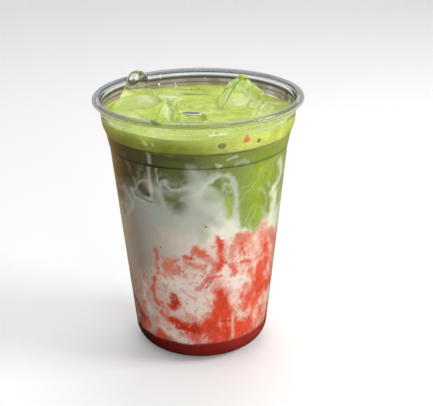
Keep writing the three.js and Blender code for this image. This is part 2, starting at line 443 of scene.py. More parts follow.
# The pieces of ice, each one block or two frozen together as in the part's source. The crown has a
# melted neck between its two.
ICE: dict[str, tuple[IceBlock, ...]] = {
    "ice_crown": (
        IceBlock((-28.7, 12.7, 109.8), (21, 25, 21), (-3, -3, -25), seed=1, **MELTED),
        IceBlock((-28.9, 20.5, 120), (12, 12.5, 20), (-4, 2, 0), seed=2, **KNOB),
        IceBlock((-28.4, 18.5, 116.2), (17.5, 18, 14), (-3, 0, -12), seed=8, **NECK),
    ),
    "ice_ridge": (IceBlock((-14.2, -2.5, 110), (8, 18, 19), (13, 4, -6), seed=3),),
    "ice_slab": (IceBlock((-5.6, 30, 107.4), (26, 11.5, 19), (4, 2, -7), squareness=8, seed=4),),
    "ice_hollow": (
        IceBlock((-3.9, -15.2, 110), (13, 13, 18), (-6, 3, -30), narrow_top=0.06, seed=5),
    ),
    "ice_corner": (
        IceBlock((18.9, 15.8, 114.8), (20, 15, 16), (60, 25, 57), seed=6, **SHARP),
        IceBlock((29.2, 6.2, 108.8), (13, 21, 17), (-4, 6, 33), squareness=6, seed=7),
    ),
}


def ice_depth(points: np.ndarray) -> np.ndarray:
    """How far inside any piece of ice each place is, negative outside."""
    return np.max([block.depth(points) for blocks in ICE.values() for block in blocks], axis=0)


class Tint(Enum):
    """The drink's colours where streaks, lobes and chunks of one layer show in another.

    Peach is a painted highlight, and tan a painted reflection.
    """

    POCKET = "5a5a40"
    MOSS = "79844c"
    LEAF = "9eb05a"
    BRIGHT = "a8ba46"
    LIME = "b6c25e"
    MIST = "c0c7c0"
    WISP = "dbe2d8"
    CREAM = "eeeedf"
    BARK = "4a3a34"
    BLUSH = "fdeee6"
    PINK = "e8957e"
    CORAL = "ee845e"
    RED = "ec5b40"
    CRIMSON = "d6401f"
    SYRUP = "6e1e1c"
    # Painted highlight
    PEACH_HIGHLIGHT = "f7cbb0"
    # Painted reflection: a warm tan at the left edge
    TAN_REFLECTION = "d8b068"


# Colours of milk, which spreads with a softer edge than fruit
MILKY = (Tint.MIST, Tint.POCKET, Tint.MOSS, Tint.LEAF, Tint.LIME, Tint.WISP, Tint.CREAM, Tint.BLUSH)

# Streaks by colour: strength, width, and the line they follow as bearings and heights
STREAKS: dict[Tint, tuple] = {
    Tint.MIST: (
        (0.7, 8.0, ((-50.0, 82.0), (-30.0, 81.0), (-12.0, 81.5), (4.0, 79.0))),
        (0.5, 5.0, ((-30.0, 76.0), (-12.0, 73.0), (0.0, 70.0))),
        (0.45, 5.0, ((-46.0, 72.0), (-38.0, 66.0))),
    ),
    Tint.POCKET: (
        (0.95, 2.8, ((-41.2, 90.0), (-38.2, 87.9), (-33.3, 86.8))),
        (0.9, 1.8, ((-21.4, 91.8), (-18.0, 91.5))),
        (0.6, 1.4, ((-65.5, 75.5), (-65.1, 72.3))),
        (0.55, 1.7, ((-22.8, 107.3), (-15.0, 106.0), (-4.3, 105.7))),
    ),
    Tint.MOSS: (
        (0.9, 4.4, ((-23.9, 86.0), (-16.8, 85.3), (-11.6, 86.8), (-14.5, 82.9))),
        (0.65, 3.5, ((-21.0, 96.2), (-14.2, 97.9), (-9.3, 98.1))),
        (0.6, 1.3, ((-17.3, 99.3), (-7.7, 100.0))),
    ),
    Tint.LEAF: (
        (0.45, 1.4, ((-57.2, 81.2), (-52.8, 80.2))),
        (0.8, 2.6, ((4.8, 88.1), (8.0, 89.2), (10.5, 89.1))),
        (0.75, 3.0, ((4.0, 86.8), (10.0, 86.6))),
        (0.9, 5.2, ((31.9, 97.3), (30.8, 90.0), (31.5, 83.0), (34.5, 73.6))),
        (0.9, 2.3, ((28.7, 80.9), (30.5, 71.7))),
        (0.85, 1.7, ((25.7, 93.9), (27.4, 83.7))),
        (0.35, 2.3, ((8.1, 76.6), (12.5, 73.7))),
        (0.22, 3.2, ((2.1, 72.9), (2.0, 65.2))),
    ),
    Tint.BRIGHT: (
        (0.6, 1.7, ((16.2, 93.0), (18.8, 91.5))),
        (0.9, 6.4, ((42.4, 97.4), (40.1, 89.8), (37.7, 82.0), (40.8, 69.9))),
        (0.95, 3.5, ((52.1, 98.7), (52.2, 92.4), (46.0, 89.3))),
    ),
    Tint.LIME: (
        (0.95, 2.9, ((18.3, 84.7), (20.1, 82.0), (21.3, 78.0))),
    ),
    Tint.WISP: (
        (0.55, 5.0, ((-3.0, 96.5), (2.0, 94.5), (1.0, 91))),
        (0.6, 3.5, ((5.5, 90.5), (8.5, 87.5))),
        (0.55, 0.7, ((-51.7, 88.1), (-44.9, 89.3), (-41.8, 92.4), (-36.0, 93.9))),
        (0.75, 1.4, ((-50.5, 87.7), (-47.1, 85.2), (-40.1, 83.9), (-32.4, 86.2))),
        (0.85, 0.8, ((-22.8, 94.8), (-22.3, 91.8), (-19.0, 90.1), (-14.7, 91.0), (-9.6, 93.1),
                     (-4.8, 92.6))),
        (0.7, 1.5, ((-24.8, 93.4), (-27.2, 88.2), (-25.0, 84.6), (-23.4, 82.2))),
        (0.6, 1.2, ((-59.9, 87.6), (-55.8, 84.7), (-52.4, 81.6), (-51.9, 78.5), (-59.0, 72.4))),
        (0.8, 1.5, ((0.7, 89.5), (2.4, 93.1), (6.4, 96.8), (11.2, 98.3), (16.0, 98.6), (21.1, 96.3),
                    (23.1, 92.3), (23.1, 86.7), (25.0, 78.9), (25.4, 72.4))),
        (0.45, 3.5, ((-6.1, 100.0), (-1.5, 97.5), (-2.3, 94.5))),
        (0.7, 2.9, ((-10.0, 86.9), (-5.1, 85.8), (0.6, 85.7), (6.4, 83.0), (11.5, 80.2),
                    (15.1, 74.9))),
        (0.6, 0.8, ((14.6, 90.7), (15.3, 93.7), (19.7, 92.7))),
        (0.4, 1.5, ((23.1, 102.9), (27.4, 103.6), (31.2, 102.4))),
        (0.3, 0.3, ((26.5, 83.8), (30.9, 88.2), (38.7, 91.9), (42.5, 95.6))),
        (0.3, 0.3, ((32.5, 71.4), (34.0, 77.6), (36.9, 80.9))),
        (0.25, 0.3, ((27.8, 91.1), (34.5, 92.6))),
        (0.3, 0.3, ((35.6, 68.9), (38.6, 76.8))),
    ),
    Tint.CREAM: (
        (0.8, 0.6, ((-3.4, 88.2), (1.6, 91.3), (4.8, 94.3), (10.4, 97.2))),
        (0.8, 0.6, ((10.2, 103.4), (13.3, 103.2), (11.0, 102.1))),
        (0.8, 2.3, ((64.2, 96.6), (68.7, 90.0), (64.7, 86.5), (58.1, 84.9), (55.0, 82.4))),
        (0.9, 3.6, ((60.7, 79.8), (60.6, 74.7), (59.6, 68.4), (56.2, 64.7))),
    ),
    Tint.BARK: (
        (0.95, 0.3, ((-47.0, 85.8), (-40.1, 84.5), (-32.8, 83.5))),
    ),
    Tint.BLUSH: (
        (0.9, 5.5, ((15.6, 49.5), (19.0, 44.4), (23.7, 46.0))),
        (0.85, 4.0, ((-9.4, 29.5), (-6.0, 32.5))),
        (0.7, 4.5, ((-17.7, 44.4), (-11.7, 41.1), (2.8, 43.5))),
        (0.6, 0.6, ((17.0, 106.1), (21.9, 106.2))),
        (0.5, 0.9, ((56.1, 86.6), (55.4, 82.9), (61.4, 78.3))),
        (0.85, 3.0, ((-29.9, 44.1), (-22.6, 43.8), (-15.5, 44.4))),
        (0.85, 3.9, ((19.1, 45.9), (24.9, 40.6), (27.3, 34.4))),
        (0.8, 3.5, ((-12.6, 38.8), (-6.2, 32.0), (-3.1, 25.4))),
        (0.8, 3.0, ((-35.6, 17.8), (-30.5, 15.6), (-18.6, 12.7), (-9.2, 12.0))),
        (0.7, 2.5, ((-49.2, 37.1), (-49.9, 31.1), (-46.7, 23.5))),
    ),
    Tint.PINK: (
        (0.9, 2.0, ((24.6, 66.7), (36.5, 65.4))),
        (0.9, 3.1, ((25.7, 64.3), (35.8, 62.8))),
        (0.85, 1.7, ((23.6, 61.9), (22.7, 56.9))),
        (0.85, 3.5, ((47.7, 63.2), (61.0, 61.3), (76.2, 52.9))),
        (0.85, 2.1, ((71.9, 51.2), (65.5, 46.0), (78.9, 36.7))),
        (0.7, 0.7, ((53.7, 48.3), (56.5, 43.7))),
        (0.95, 3.1, ((-20.4, 55.2), (-26.7, 50.5), (-24.6, 49.3), (-17.5, 50.0))),
        (0.75, 0.8, ((-17.4, 52.2), (-12.0, 46.9))),
        (0.6, 0.7, ((2.6, 49.9), (0.9, 47.1))),
        (0.65, 1.1, ((14.9, 42.9), (12.5, 39.6))),
    ),
    Tint.CORAL: (
        (0.85, 1.7, ((45.1, 51.9), (57.1, 52.6))),
        (0.8, 2.2, ((39.1, 45.8), (43.9, 41.9))),
        (0.9, 2.1, ((48.4, 25.7), (44.5, 21.2), (42.9, 17.3), (39.6, 13.2))),
        (0.95, 3.0, ((-3.4, 60.7), (1.9, 59.0))),
        (0.75, 2.1, ((-11.5, 54.3), (-5.3, 52.8), (1.0, 52.3))),
        (0.7, 2.2, ((0.4, 59.0), (5.0, 55.5))),
    ),
    Tint.RED: (
        (0.9, 6.5, ((-6.0, 16.0), (8.0, 17.0), (24.0, 16.5), (42.0, 16.5))),
        (0.85, 4.5, ((4.0, 21.0), (14.0, 27.0), (24.0, 25.0))),
        (0.95, 2.7, ((12.6, 66.3), (15.0, 62.8), (15.2, 58.8), (14.5, 55.0), (13.2, 50.5))),
        (0.8, 1.0, ((66.8, 57.6), (65.2, 54.9))),
        (0.85, 1.0, ((30.5, 59.2), (32.7, 55.5))),
        (0.9, 1.3, ((30.2, 51.8), (38.3, 51.3))),
        (0.85, 2.5, ((23.1, 51.5), (25.2, 47.5))),
        (0.7, 1.0, ((58.2, 44.4), (67.3, 37.4))),
        (0.9, 3.5, ((53.2, 39.3), (48.2, 36.3), (42.6, 32.3), (37.3, 27.5))),
        (1, 3.0, ((54.6, 33.4), (55.7, 30.7))),
        (0.8, 0.8, ((52.4, 27.1), (62.1, 17.6))),
        (0.95, 1.3, ((-12.1, 57.6), (-6.6, 57.3))),
        (0.85, 1.5, ((-33.8, 58.0), (-33.1, 54.4))),
        (0.8, 1.4, ((-33.6, 50.4), (-34.3, 46.3))),
        (0.85, 1.6, ((-38.0, 43.4), (-40.2, 38.4), (-40.0, 34.3), (-37.5, 30.0))),
        (0.85, 1.3, ((-28.9, 47.6), (-27.9, 46.5))),
        (0.75, 1.3, ((-4.1, 40.8), (0.8, 42.5), (4.1, 45.8), (8.2, 46.8), (14.8, 46.9))),
        (0.7, 1.6, ((10.4, 39.5), (12.9, 37.9))),
        (0.6, 0.4, ((-15.0, 40.9), (-9.3, 37.7), (-4.3, 36.1), (-5.3, 34.3))),
        (0.85, 1.8, ((-35.1, 25.7), (-31.2, 23.9), (-25.4, 22.2), (-19.8, 19.9))),
        (0.95, 3.1, ((-5.0, 20.4), (0.3, 21.0), (6.6, 22.3))),
        (0.97, 4.9, ((15.2, 34.7), (13.2, 29.6), (10.2, 24.4), (10.7, 19.0), (11.3, 12.9))),
        (0.97, 4.9, ((18.6, 30.3), (19.1, 21.2), (19.5, 12.1))),
        (0.9, 3.1, ((3.9, 23.6), (1.2, 18.9))),
        (0.95, 5.1, ((26.9, 20.3), (33.3, 16.2), (31.7, 11.1))),
        (0.8, 1.5, ((-58.4, 20.8), (-50.9, 19.0), (-48.4, 15.9))),
    ),
    Tint.CRIMSON: (
        (0.8, 0.6, ((7.8, 44.8), (3.7, 41.7))),
        (0.98, 3.6, ((-20.7, 36.1), (-19.2, 33.6), (-23.7, 30.8))),
        (0.98, 3.8, ((-24.1, 23.9), (-17.6, 21.9), (-12.3, 19.2), (-5.0, 20.6))),
        (0.6, 1.5, ((-18.2, 17.0), (-16.3, 15.3))),
    ),
    Tint.SYRUP: (
        (0.55, 3.2, ((-66.5, 13.0), (-63.0, 18.0))),
        (0.7, 1.4, ((-71.7, 26.4), (-64.9, 24.0), (-60.2, 21.0), (-55.8, 18.5))),
        (0.3, 1.3, ((20.6, 19.3), (21.6, 11.9))),
        (0.55, 0.3, ((17.5, 22.4), (25.2, 22.4), (31.4, 22.6))),
    ),
    # Painted reflection: warm tan lines down the left edge of the matcha and milk
    Tint.TAN_REFLECTION: (
        (0.75, 0.5, ((-79.0, 108.0), (-73.5, 103.0), (-76.0, 97.0), (-79.0, 88.0))),
        (0.55, 1.2, ((-84.0, 100.0), (-83.0, 84.0), (-83.0, 66.0))),
        (0.5, 0.4, ((-83.0, 106.0), (-78.0, 100.0), (-74.0, 92.0))),
    ),
    # Painted highlights: pale peach streaks low on the cup, where the base corner catches the
    # light; the first is a thin upright glint at the front right, the second lies at the right edge
    Tint.PEACH_HIGHLIGHT: (
        (0.85, 1.1, ((26.0, 26.0), (25.9, 21.8), (26.0, 16.3), (26.0, 12.5))),
        (0.8, 4.5, ((79.0, 23.0), (83.5, 11.0))),
        (0.7, 0.6, ((2.2, 16.3), (-1.2, 12.7))),
        (0.8, 1.0, ((56.8, 15.3), (53.7, 11.3))),
        (0.85, 0.8, ((70.7, 18.9), (66.9, 13.9), (62.9, 10.7))),
        (0.7, 1.1, ((46.8, 11.4), (41.5, 10.7))),
        (0.6, 0.6, ((49.7, 18.9), (49.3, 14.1))),
        (0.7, 0.8, ((67.8, 31.5), (68.3, 25.4), (67.1, 19.9))),
    ),
}


# Folds, creams and pools on top of the foam: colour, strength, width, and the line they follow as
# X and Y
FOLDS: tuple = (
    ("eef0cc", 0.6, 4.4, ((-39.4, 17.8), (-33.0, 24.4), (-24.9, 16.9))),
    ("e8edc0", 0.6, 2.4, ((-31.2, 7.2), (-37.9, 9.2))),
    ("e9edbf", 0.55, 2.9, ((16.4, 9.3), (22.8, 15.6), (27.0, 3.6))),
    ("e6ebb6", 0.5, 2.4, ((30.9, 6.7), (36.9, 11.4))),
    ("5f7a3a", 0.45, 0.6, ((-41.1, 11.9), (-33.0, 8.0), (-25.5, 9.2))),
    ("b2cc34", 0.65, 5.9, ((-24.6, 8.3), (-21.9, -0.1), (-18.9, -8.4), (-17.3, -16.3))),
    ("e6eebc", 0.6, 1.0, ((-30.8, -6.0), (-26.6, 1.0), (-22.4, 6.8))),
    ("eef2cf", 0.6, 1.0, ((-16.4, 21.6), (-15.1, 4.4), (-13.8, -13.4))),
    ("7f9640", 0.5, 0.7, ((-15.0, 21.5), (-13.1, 1.0), (-11.5, -15.1))),
    ("eef2cf", 0.55, 0.7, ((-13.5, 23.1), (-11.3, 4.2), (-9.7, -15.2))),
    ("dfe8b0", 0.5, 2.9, ((-17.7, 35.1), (-8.8, 32.7), (1.0, 29.4))),
    ("f0f3d6", 0.8, 1.6, ((-19.0, 26.1), (-12.3, 24.8), (-8.2, 18.9), (-12.1, 13.5))),
    ("5c7538", 0.75, 1.1, ((-7.0, 29.2), (-1.6, 25.9), (4.7, 22.7))),
    ("aecb34", 0.6, 5.4, ((-10.5, 10.0), (-2.9, 13.8), (4.2, 11.6))),
    ("738f34", 0.55, 1.1, ((-0.1, 1.8), (4.8, 6.5))),
    ("8aa350", 0.65, 0.8, ((9.6, 17.8), (14.4, 24.9), (21.1, 26.8), (26.0, 16.8), (23.6, 7.5))),
    ("e6edc0", 0.6, 2.4, ((18.7, 7.3), (22.1, 8.8))),
    ("dfe8ae", 0.65, 1.0, ((30.7, 18.9), (27.4, 3.4), (24.5, -12.7))),
    ("f0f4d2", 0.7, 0.8, ((32.8, 15.0), (29.6, -0.0), (26.5, -14.2))),
    ("92a95a", 0.55, 0.6, ((32.0, 16.7), (28.7, 1.7), (25.7, -12.6))),
    ("dfe8ae", 0.65, 1.0, ((35.2, 8.0), (32.1, -5.0), (29.1, -15.9))),
    ("c3d366", 0.5, 4.4, ((33.9, 25.4), (40.4, 15.3), (42.6, 5.8))),
    ("e8ecc4", 0.7, 1.0, ((42.2, 19.6), (43.9, 10.8), (43.7, 2.4))),
    ("e2e8bc", 0.6, 2.4, ((-21.4, -29.6), (-13.4, -34.4), (-3.8, -35.7))),
    ("cfe05e", 0.6, 4.4, ((10.9, -3.8), (18.0, -12.2), (28.9, -11.2))),
    ("c9dc52", 0.5, 3.9, ((3.5, 38.4), (13.4, 35.9), (23.1, 33.4))),
    ("a9be45", 0.5, 1.5, ((7.6, 16.5), (10.6, 2.8), (11.7, -8.6))),
    ("b7c862", 0.5, 1.5, ((12.7, 11.1), (15.5, -4.0), (18.8, -15.3))),
    ("8fa648", 0.5, 1.2, ((-32.3, 2.1), (-26.6, -9.5), (-21.9, -16.0))),
    ("dbe4a6", 0.5, 3.9, ((-39.5, -0.7), (-35.0, -7.4), (-29.2, -14.0))),
    ("93aa44", 0.45, 1.2, ((-8.4, -4.2), (-3.8, -12.4), (3.0, -15.9))),
)


def line_distance(places: np.ndarray, stops: np.ndarray) -> np.ndarray:
    """Distance of each place from a line of straight stretches, in the plane.

    Args:
        places: The places, one row each.
        stops: The line's points, one row each.

    Returns:
        One distance for each place.
    """
    distance = np.full(len(places), 1e9)
    for start, end in zip(stops[:-1], stops[1:]):
        step = end - start
        t = np.clip(((places - start) @ step) / max(step @ step, 1e-9), 0, 1)
        distance = np.minimum(distance, np.linalg.norm(places - start - t[:, None] * step, axis=1))
    return distance


@dataclass(frozen=True)
class Streak:
    """A streak, lobe or chunk that shows through the wall, or a painted highlight or reflection."""

    tint: Tint
    strength: float
    width: float
    line: tuple[tuple[float, float], ...]


def far_side_streaks() -> list[Streak]:
    """Streaks for the sides and back, which go on as the front does.

    Returns:
        Fruit low down and swirls of milk and matcha above it, the same on each run.
    """
    rng = np.random.default_rng(12)
    made = []
    pulp = (Tint.RED, Tint.CORAL, Tint.PINK, Tint.BLUSH, Tint.RED, Tint.PINK)
    for _ in range(64):
        bearing, height = rng.uniform(72, 282), rng.uniform(16, 52)
        run, climb = rng.uniform(-9, 9), rng.uniform(-8, 8)
        line = tuple(
            (bearing + run * t, height + climb * t + rng.uniform(-1, 1)) for t in (0, 0.5, 1)
        )
        made.append(Streak(pulp[rng.integers(6)], rng.uniform(0.6, 0.95), rng.uniform(1.2, 5),
                           line))
    brew = (Tint.WISP, Tint.LEAF, Tint.WISP, Tint.BRIGHT, Tint.CREAM)
    for _ in range(44):
        bearing, height = rng.uniform(78, 276), rng.uniform(70, 101)
        run, climb = rng.uniform(-14, 14), rng.uniform(-14, 9)
        line = tuple(
            (bearing + run * t, min(height + climb * t * t, 104)) for t in (0, 0.4, 0.7, 1)
        )
        made.append(Streak(brew[rng.integers(5)], rng.uniform(0.4, 0.8), rng.uniform(0.8, 6), line))
    return made


class Brew:
    """The drink's colour at any place in it: five layers that swirl into each other.

    It holds painted shade, painted highlights and a painted reflection as well.
    """

    def __init__(self) -> None:
        """Gathers the streaks and the noise that frays them."""
        self.grain = Grain(5)
        self.streaks = [
            Streak(tint, *streak) for tint, streaks in STREAKS.items() for streak in streaks
        ] + far_side_streaks()

    @staticmethod
    def along(bearing: np.ndarray, *stops: tuple[float, str]) -> np.ndarray:
        """A colour that changes round the cup.

        Args:
            bearing: Bearings of the places.
            stops: Bearings from -180 to 180, each with its colour.

        Returns:
            Linear colours, one row for each place.
        """
        at = [stop for stop, _ in stops]
        colours = np.array([linear(code) for _, code in stops])
        return np.stack([np.interp(bearing, at, colours[:, i]) for i in range(3)], 1)

    def colour(self, points: np.ndarray) -> np.ndarray:
        """The drink's colours.

        Args:
            points: Places in the drink.

        Returns:
            Linear colours, one row for each place.
        """
        x, y, z = points.T
        bearing = np.degrees(np.arctan2(x, -y))
        frayed = points + np.stack(
            [self.grain.rough(points + shift, 9.0, 4) for shift in (0.0, 31.0, 57.0)], 1
        ) * np.array([2.0, 2.0, 2.4])
        fx, fy, fz = frayed.T
        near = np.degrees(np.arctan2(fx, -fy))
        swirl = self.grain.rough(frayed * np.array([1, 1, 0.6]) + 90, 7.0, 4)
        mottle = self.grain.rough(frayed + 140, 2.6, 3)

        # Each layer's colour round the cup. It holds painted light: the colours turn darker on the
        # left, from about -30 to -75, as painted shade on the side away from the lamps, and warmer
        # and paler at the left edge, near -84, as a painted reflection
        syrup = self.along(
            bearing, (-180, "7e2522"), (-75, "3c1012"), (-30, "7a1f1e"), (10, "a02c28"),
            (60, "b0403a"), (180, "7e2522"),
        )
        pulp = self.along(
            bearing, (-180, "e4c6ba"), (-84, "f6e6d4"), (-62, "dcc6b4"), (-50, "d8c2b4"),
            (-25, "f0dad0"), (5, "fbebe3"), (50, "f8e2d6"), (90, "f4bca4"), (180, "e4c6ba"),
        )
        milk = self.along(
            bearing, (-180, "d6d3c2"), (-82, "fff0da"), (-66, "e2cfba"), (-50, "b8aa9c"),
            (-22, "e4d8ce"), (5, "f8f2e8"), (50, "f0f0e2"), (80, "dedccb"), (180, "d6d3c2"),
        )
        matcha = self.along(
            bearing, (-180, "8f9b52"), (-104, "8f9b52"), (-84, "c2984e"), (-70, "a57c3a"),
            (-55, "766640"), (-30, "66663e"), (-10, "7a8048"), (15, "97a25e"), (45, "98a74a"),
            (80, "a9b562"), (180, "8f9b52"),
        )
        foam = self.along(
            bearing, (-180, "c3d46a"), (-85, "c0b638"), (-50, "a6a632"), (-10, "a2aa36"),
            (25, "dcdf7e"), (80, "cbd662"), (180, "c3d46a"),
        )
        foam += (linear("cfdb70") - foam) * (0.75 * ease(111.0, 115.6, z + 0.9 * swirl))[:, None]
        foam *= (1 + 0.16 * swirl + 0.1 * mottle)[:, None]
        pinkness = ease(0.15, 0.8, mottle + 0.7 * ease(-50, 60, bearing) - 0.12)
        pulp += (linear(Tint.PINK.value) - pulp) * (0.6 * pinkness)[:, None]
        flesh = self.grain.rough(frayed * np.array([1, 1, 0.75]) + 200, 6.5, 4)
        flesh += 0.55 * swell(bearing, 62, 62) + 0.3 * ease(44, 12, z) - 0.42
        pulp += (linear(Tint.PINK.value) - pulp) * (0.75 * ease(0.0, 0.3, flesh))[:, None]
        pulp += (linear(Tint.RED.value) - pulp) * (0.85 * ease(0.38, 0.6, flesh))[:, None]
        seep = ease(5.0, 0.0, z - syrup_top(near, 1.0) + 2.0 * swirl)
        pulp += (linear("b8463a") - pulp) * (0.7 * seep)[:, None]
        above = z + 0.15 * (fz - z) - syrup_top(bearing, 1.0) - 0.9 - 1.6 * swell(bearing, -70, 28)
        over_syrup = ease(-0.5, 0.6, above)[:, None]
        colour = syrup + (pulp - syrup) * over_syrup
        milk *= (1 + 0.07 * swirl)[:, None]
        into_milk = ease(-2.6, 3.2, fz + 2.2 * swirl - strawberry_top(near, 1.0))
        colour += (milk - colour) * into_milk[:, None]
        into_matcha = ease(-5.0, 6.5, fz + 5.5 * swirl - milk_top(near, 1.0))
        colour += (matcha - colour) * into_matcha[:, None]
        wisps = ease(0.78, 0.97, 1 - np.abs(swirl)) * ease(109, 84, z)
        wisps = wisps * ease(-8, 2, z - milk_top(near, 1.0))
        colour += (linear(Tint.WISP.value) - colour) * (0.5 * wisps)[:, None]
        drift = np.c_[(near - bearing + 180) % 360 - 180, fz - z]
        crumb = self.grain.rough(frayed + 170, 1.5, 2)
        painted = self.paint(colour, np.c_[bearing, z], drift, mottle, crumb)
        body = syrup + (painted - syrup) * over_syrup
        into_foam = ease(-0.5, 0.3, z + 0.15 * (fz - z) - matcha_top(bearing, 1.0))
        body += (foam - body) * into_foam[:, None]
        # Painted shade: the drink's colour is darkened in a thin band behind each moulded line
        for line, strength in MOULDED_LINE_SHADE:
            body *= (1 - strength * np.exp(-(((z - line) / 0.42) ** 2)))[:, None]
        return body

    def paint(
        self, colour: np.ndarray, places: np.ndarray, drift: np.ndarray, fray: np.ndarray,
        crumb: np.ndarray
    ) -> np.ndarray:
        """Lays the streaks over the layers' colours.

        Args:
            colour: Linear colours so far.
            places: Bearing and height of each place.
            drift: How far the swirl carries each place.
            fray: Noise that makes the streaks' edges ragged.
            crumb: Finer noise that breaks the fruit up.

        Returns:
            The new colours.
        """
        painted = colour.copy()
        for streak in self.streaks:
            milky = streak.tint in MILKY
            carried = 0.7 if streak.tint in (Tint.WISP, Tint.BLUSH) else 0.3
            bearing, height = (places + drift * carried).T
            line = np.array(streak.line)
            centre = line[:, 0].mean()
            away = (bearing - centre + 180) % 360 - 180
            reach = streak.width / 2 + 2.5
            span = np.ptp(line[:, 0]) / 2 + reach * 1.6 + 3
            near = np.flatnonzero(
                (np.abs(away) < span)
                & (height > line[:, 1].min() - reach)
                & (height < line[:, 1].max() + reach)
            )
            if not len(near):
                continue
            place = np.c_[away[near] * MM_PER_DEGREE, height[near]]
            stops = np.c_[(line[:, 0] - centre) * MM_PER_DEGREE, line[:, 1]]
            half = 0.68 * streak.width
            edge = line_distance(place, stops) + fray[near] * min(0.6 * half, 1.3)
            broken = min(1.0, 2.0 / streak.width)
            if not milky:
                edge += fray[near] * min(0.35 * half, 0.5) + crumb[near] * min(0.9 * half, 0.9)
            core, rim = (0.0, 1.9) if milky else (0.45, 1.3)
            cover = streak.strength * (1 - ease(half * core, half * rim + 0.3, edge))
            ragged = 0.2 * fray[near] if milky else (0.3 * fray[near] + 0.45 * crumb[near]) * broken
            cover = np.clip(cover * (1 + ragged), 0, 1)
            depth = 1 + (0.0 if milky else 0.14) * (fray[near] + crumb[near])
            wanted = linear(streak.tint.value) * depth[:, None]
            painted[near] += (wanted - painted[near]) * cover[:, None]
        return painted


@dataclass(frozen=True)
class ClearPlastic:
    """Thermoformed PET: water-clear and glossy, with faint waves from the forming."""

    name: str = "clear_PET"
    ior: float = 1.575
    roughness: float = 0.02
    specular: float = 0.5
    waves_mm: float = 14
    waviness: float = 0.02

    def make(self) -> bpy.types.Material:
        """Clear gloss that bends light at its edges and lets the lamps through."""
        return clear_material(self.name, "", self.ior, self.roughness, self.specular,
                              self.waves_mm, self.waviness)


@dataclass(frozen=True)
class ClearIce:
    """Frozen water: clear and wet, with melted dimples that break up what shows through it."""

    name: str = "clear_ice"
    ior: float = 1.2
    roughness: float = 0.04
    dimples_mm: float = 2.2
    dimpling: float = 0.22

    def make(self) -> bpy.types.Material:
        """Wet clear ice with soft dimples."""
        return clear_material(self.name, "f8fbf2", self.ior, self.roughness, 0.5, self.dimples_mm,
                              self.dimpling)


def clear_material(
    name: str, code: str, ior: float, roughness: float, specular: float, pattern_mm: float,
    strength: float,
) -> bpy.types.Material:
    """A clear material whose shadows let the lamps through.

    Args:
        name: The material's name.
        code: Its colour, or nothing where the piece's tint attribute gives it.
        ior: How much it bends light.
        roughness: Its roughness.
        specular: How bright its reflections are, 0.5 being the full strength for its IOR.
        pattern_mm: Size of the waves or dimples in its surface.
        strength: How deep they look.

    Returns:
        The material.
    """
    material = bpy.data.materials.new(name)
    material.use_nodes = True
    tree = material.node_tree
    tree.nodes.clear()
    place = add_node(tree, "ShaderNodeTexCoord")
    waves = add_node(
        tree, "ShaderNodeTexNoise",
        {"Vector": place.outputs["Object"], "Scale": 1 / (pattern_mm * MM), "Detail": 1.5},
    )
    bump = add_node(
        tree, "ShaderNodeBump",
        {"Height": waves.outputs["Fac"], "Strength": strength, "Distance": pattern_mm * MM * 0.3},
    )
    colour = rgba(code) if code else add_node(
        tree, "ShaderNodeAttribute", attribute_name="tint"
    ).outputs["Color"]
    clear = add_node(
        tree, "ShaderNodeBsdfPrincipled",
        {"Base Color": colour, "Roughness": roughness, "IOR": ior, "Transmission Weight": 1.0,
         "Specular IOR Level": specular, "Normal": bump.outputs["Normal"]},
    )
    path = add_node(tree, "ShaderNodeLightPath")
    through = add_node(tree, "ShaderNodeBsdfTransparent", {"Color": rgba("f4f6f2")})
    mixed = add_node(
        tree, "ShaderNodeMixShader",
        {0: path.outputs["Is Shadow Ray"], 1: clear.outputs["BSDF"], 2: through.outputs["BSDF"]},
    )
    add_node(tree, "ShaderNodeOutputMaterial", {"Surface": mixed.outputs["Shader"]})
    return material


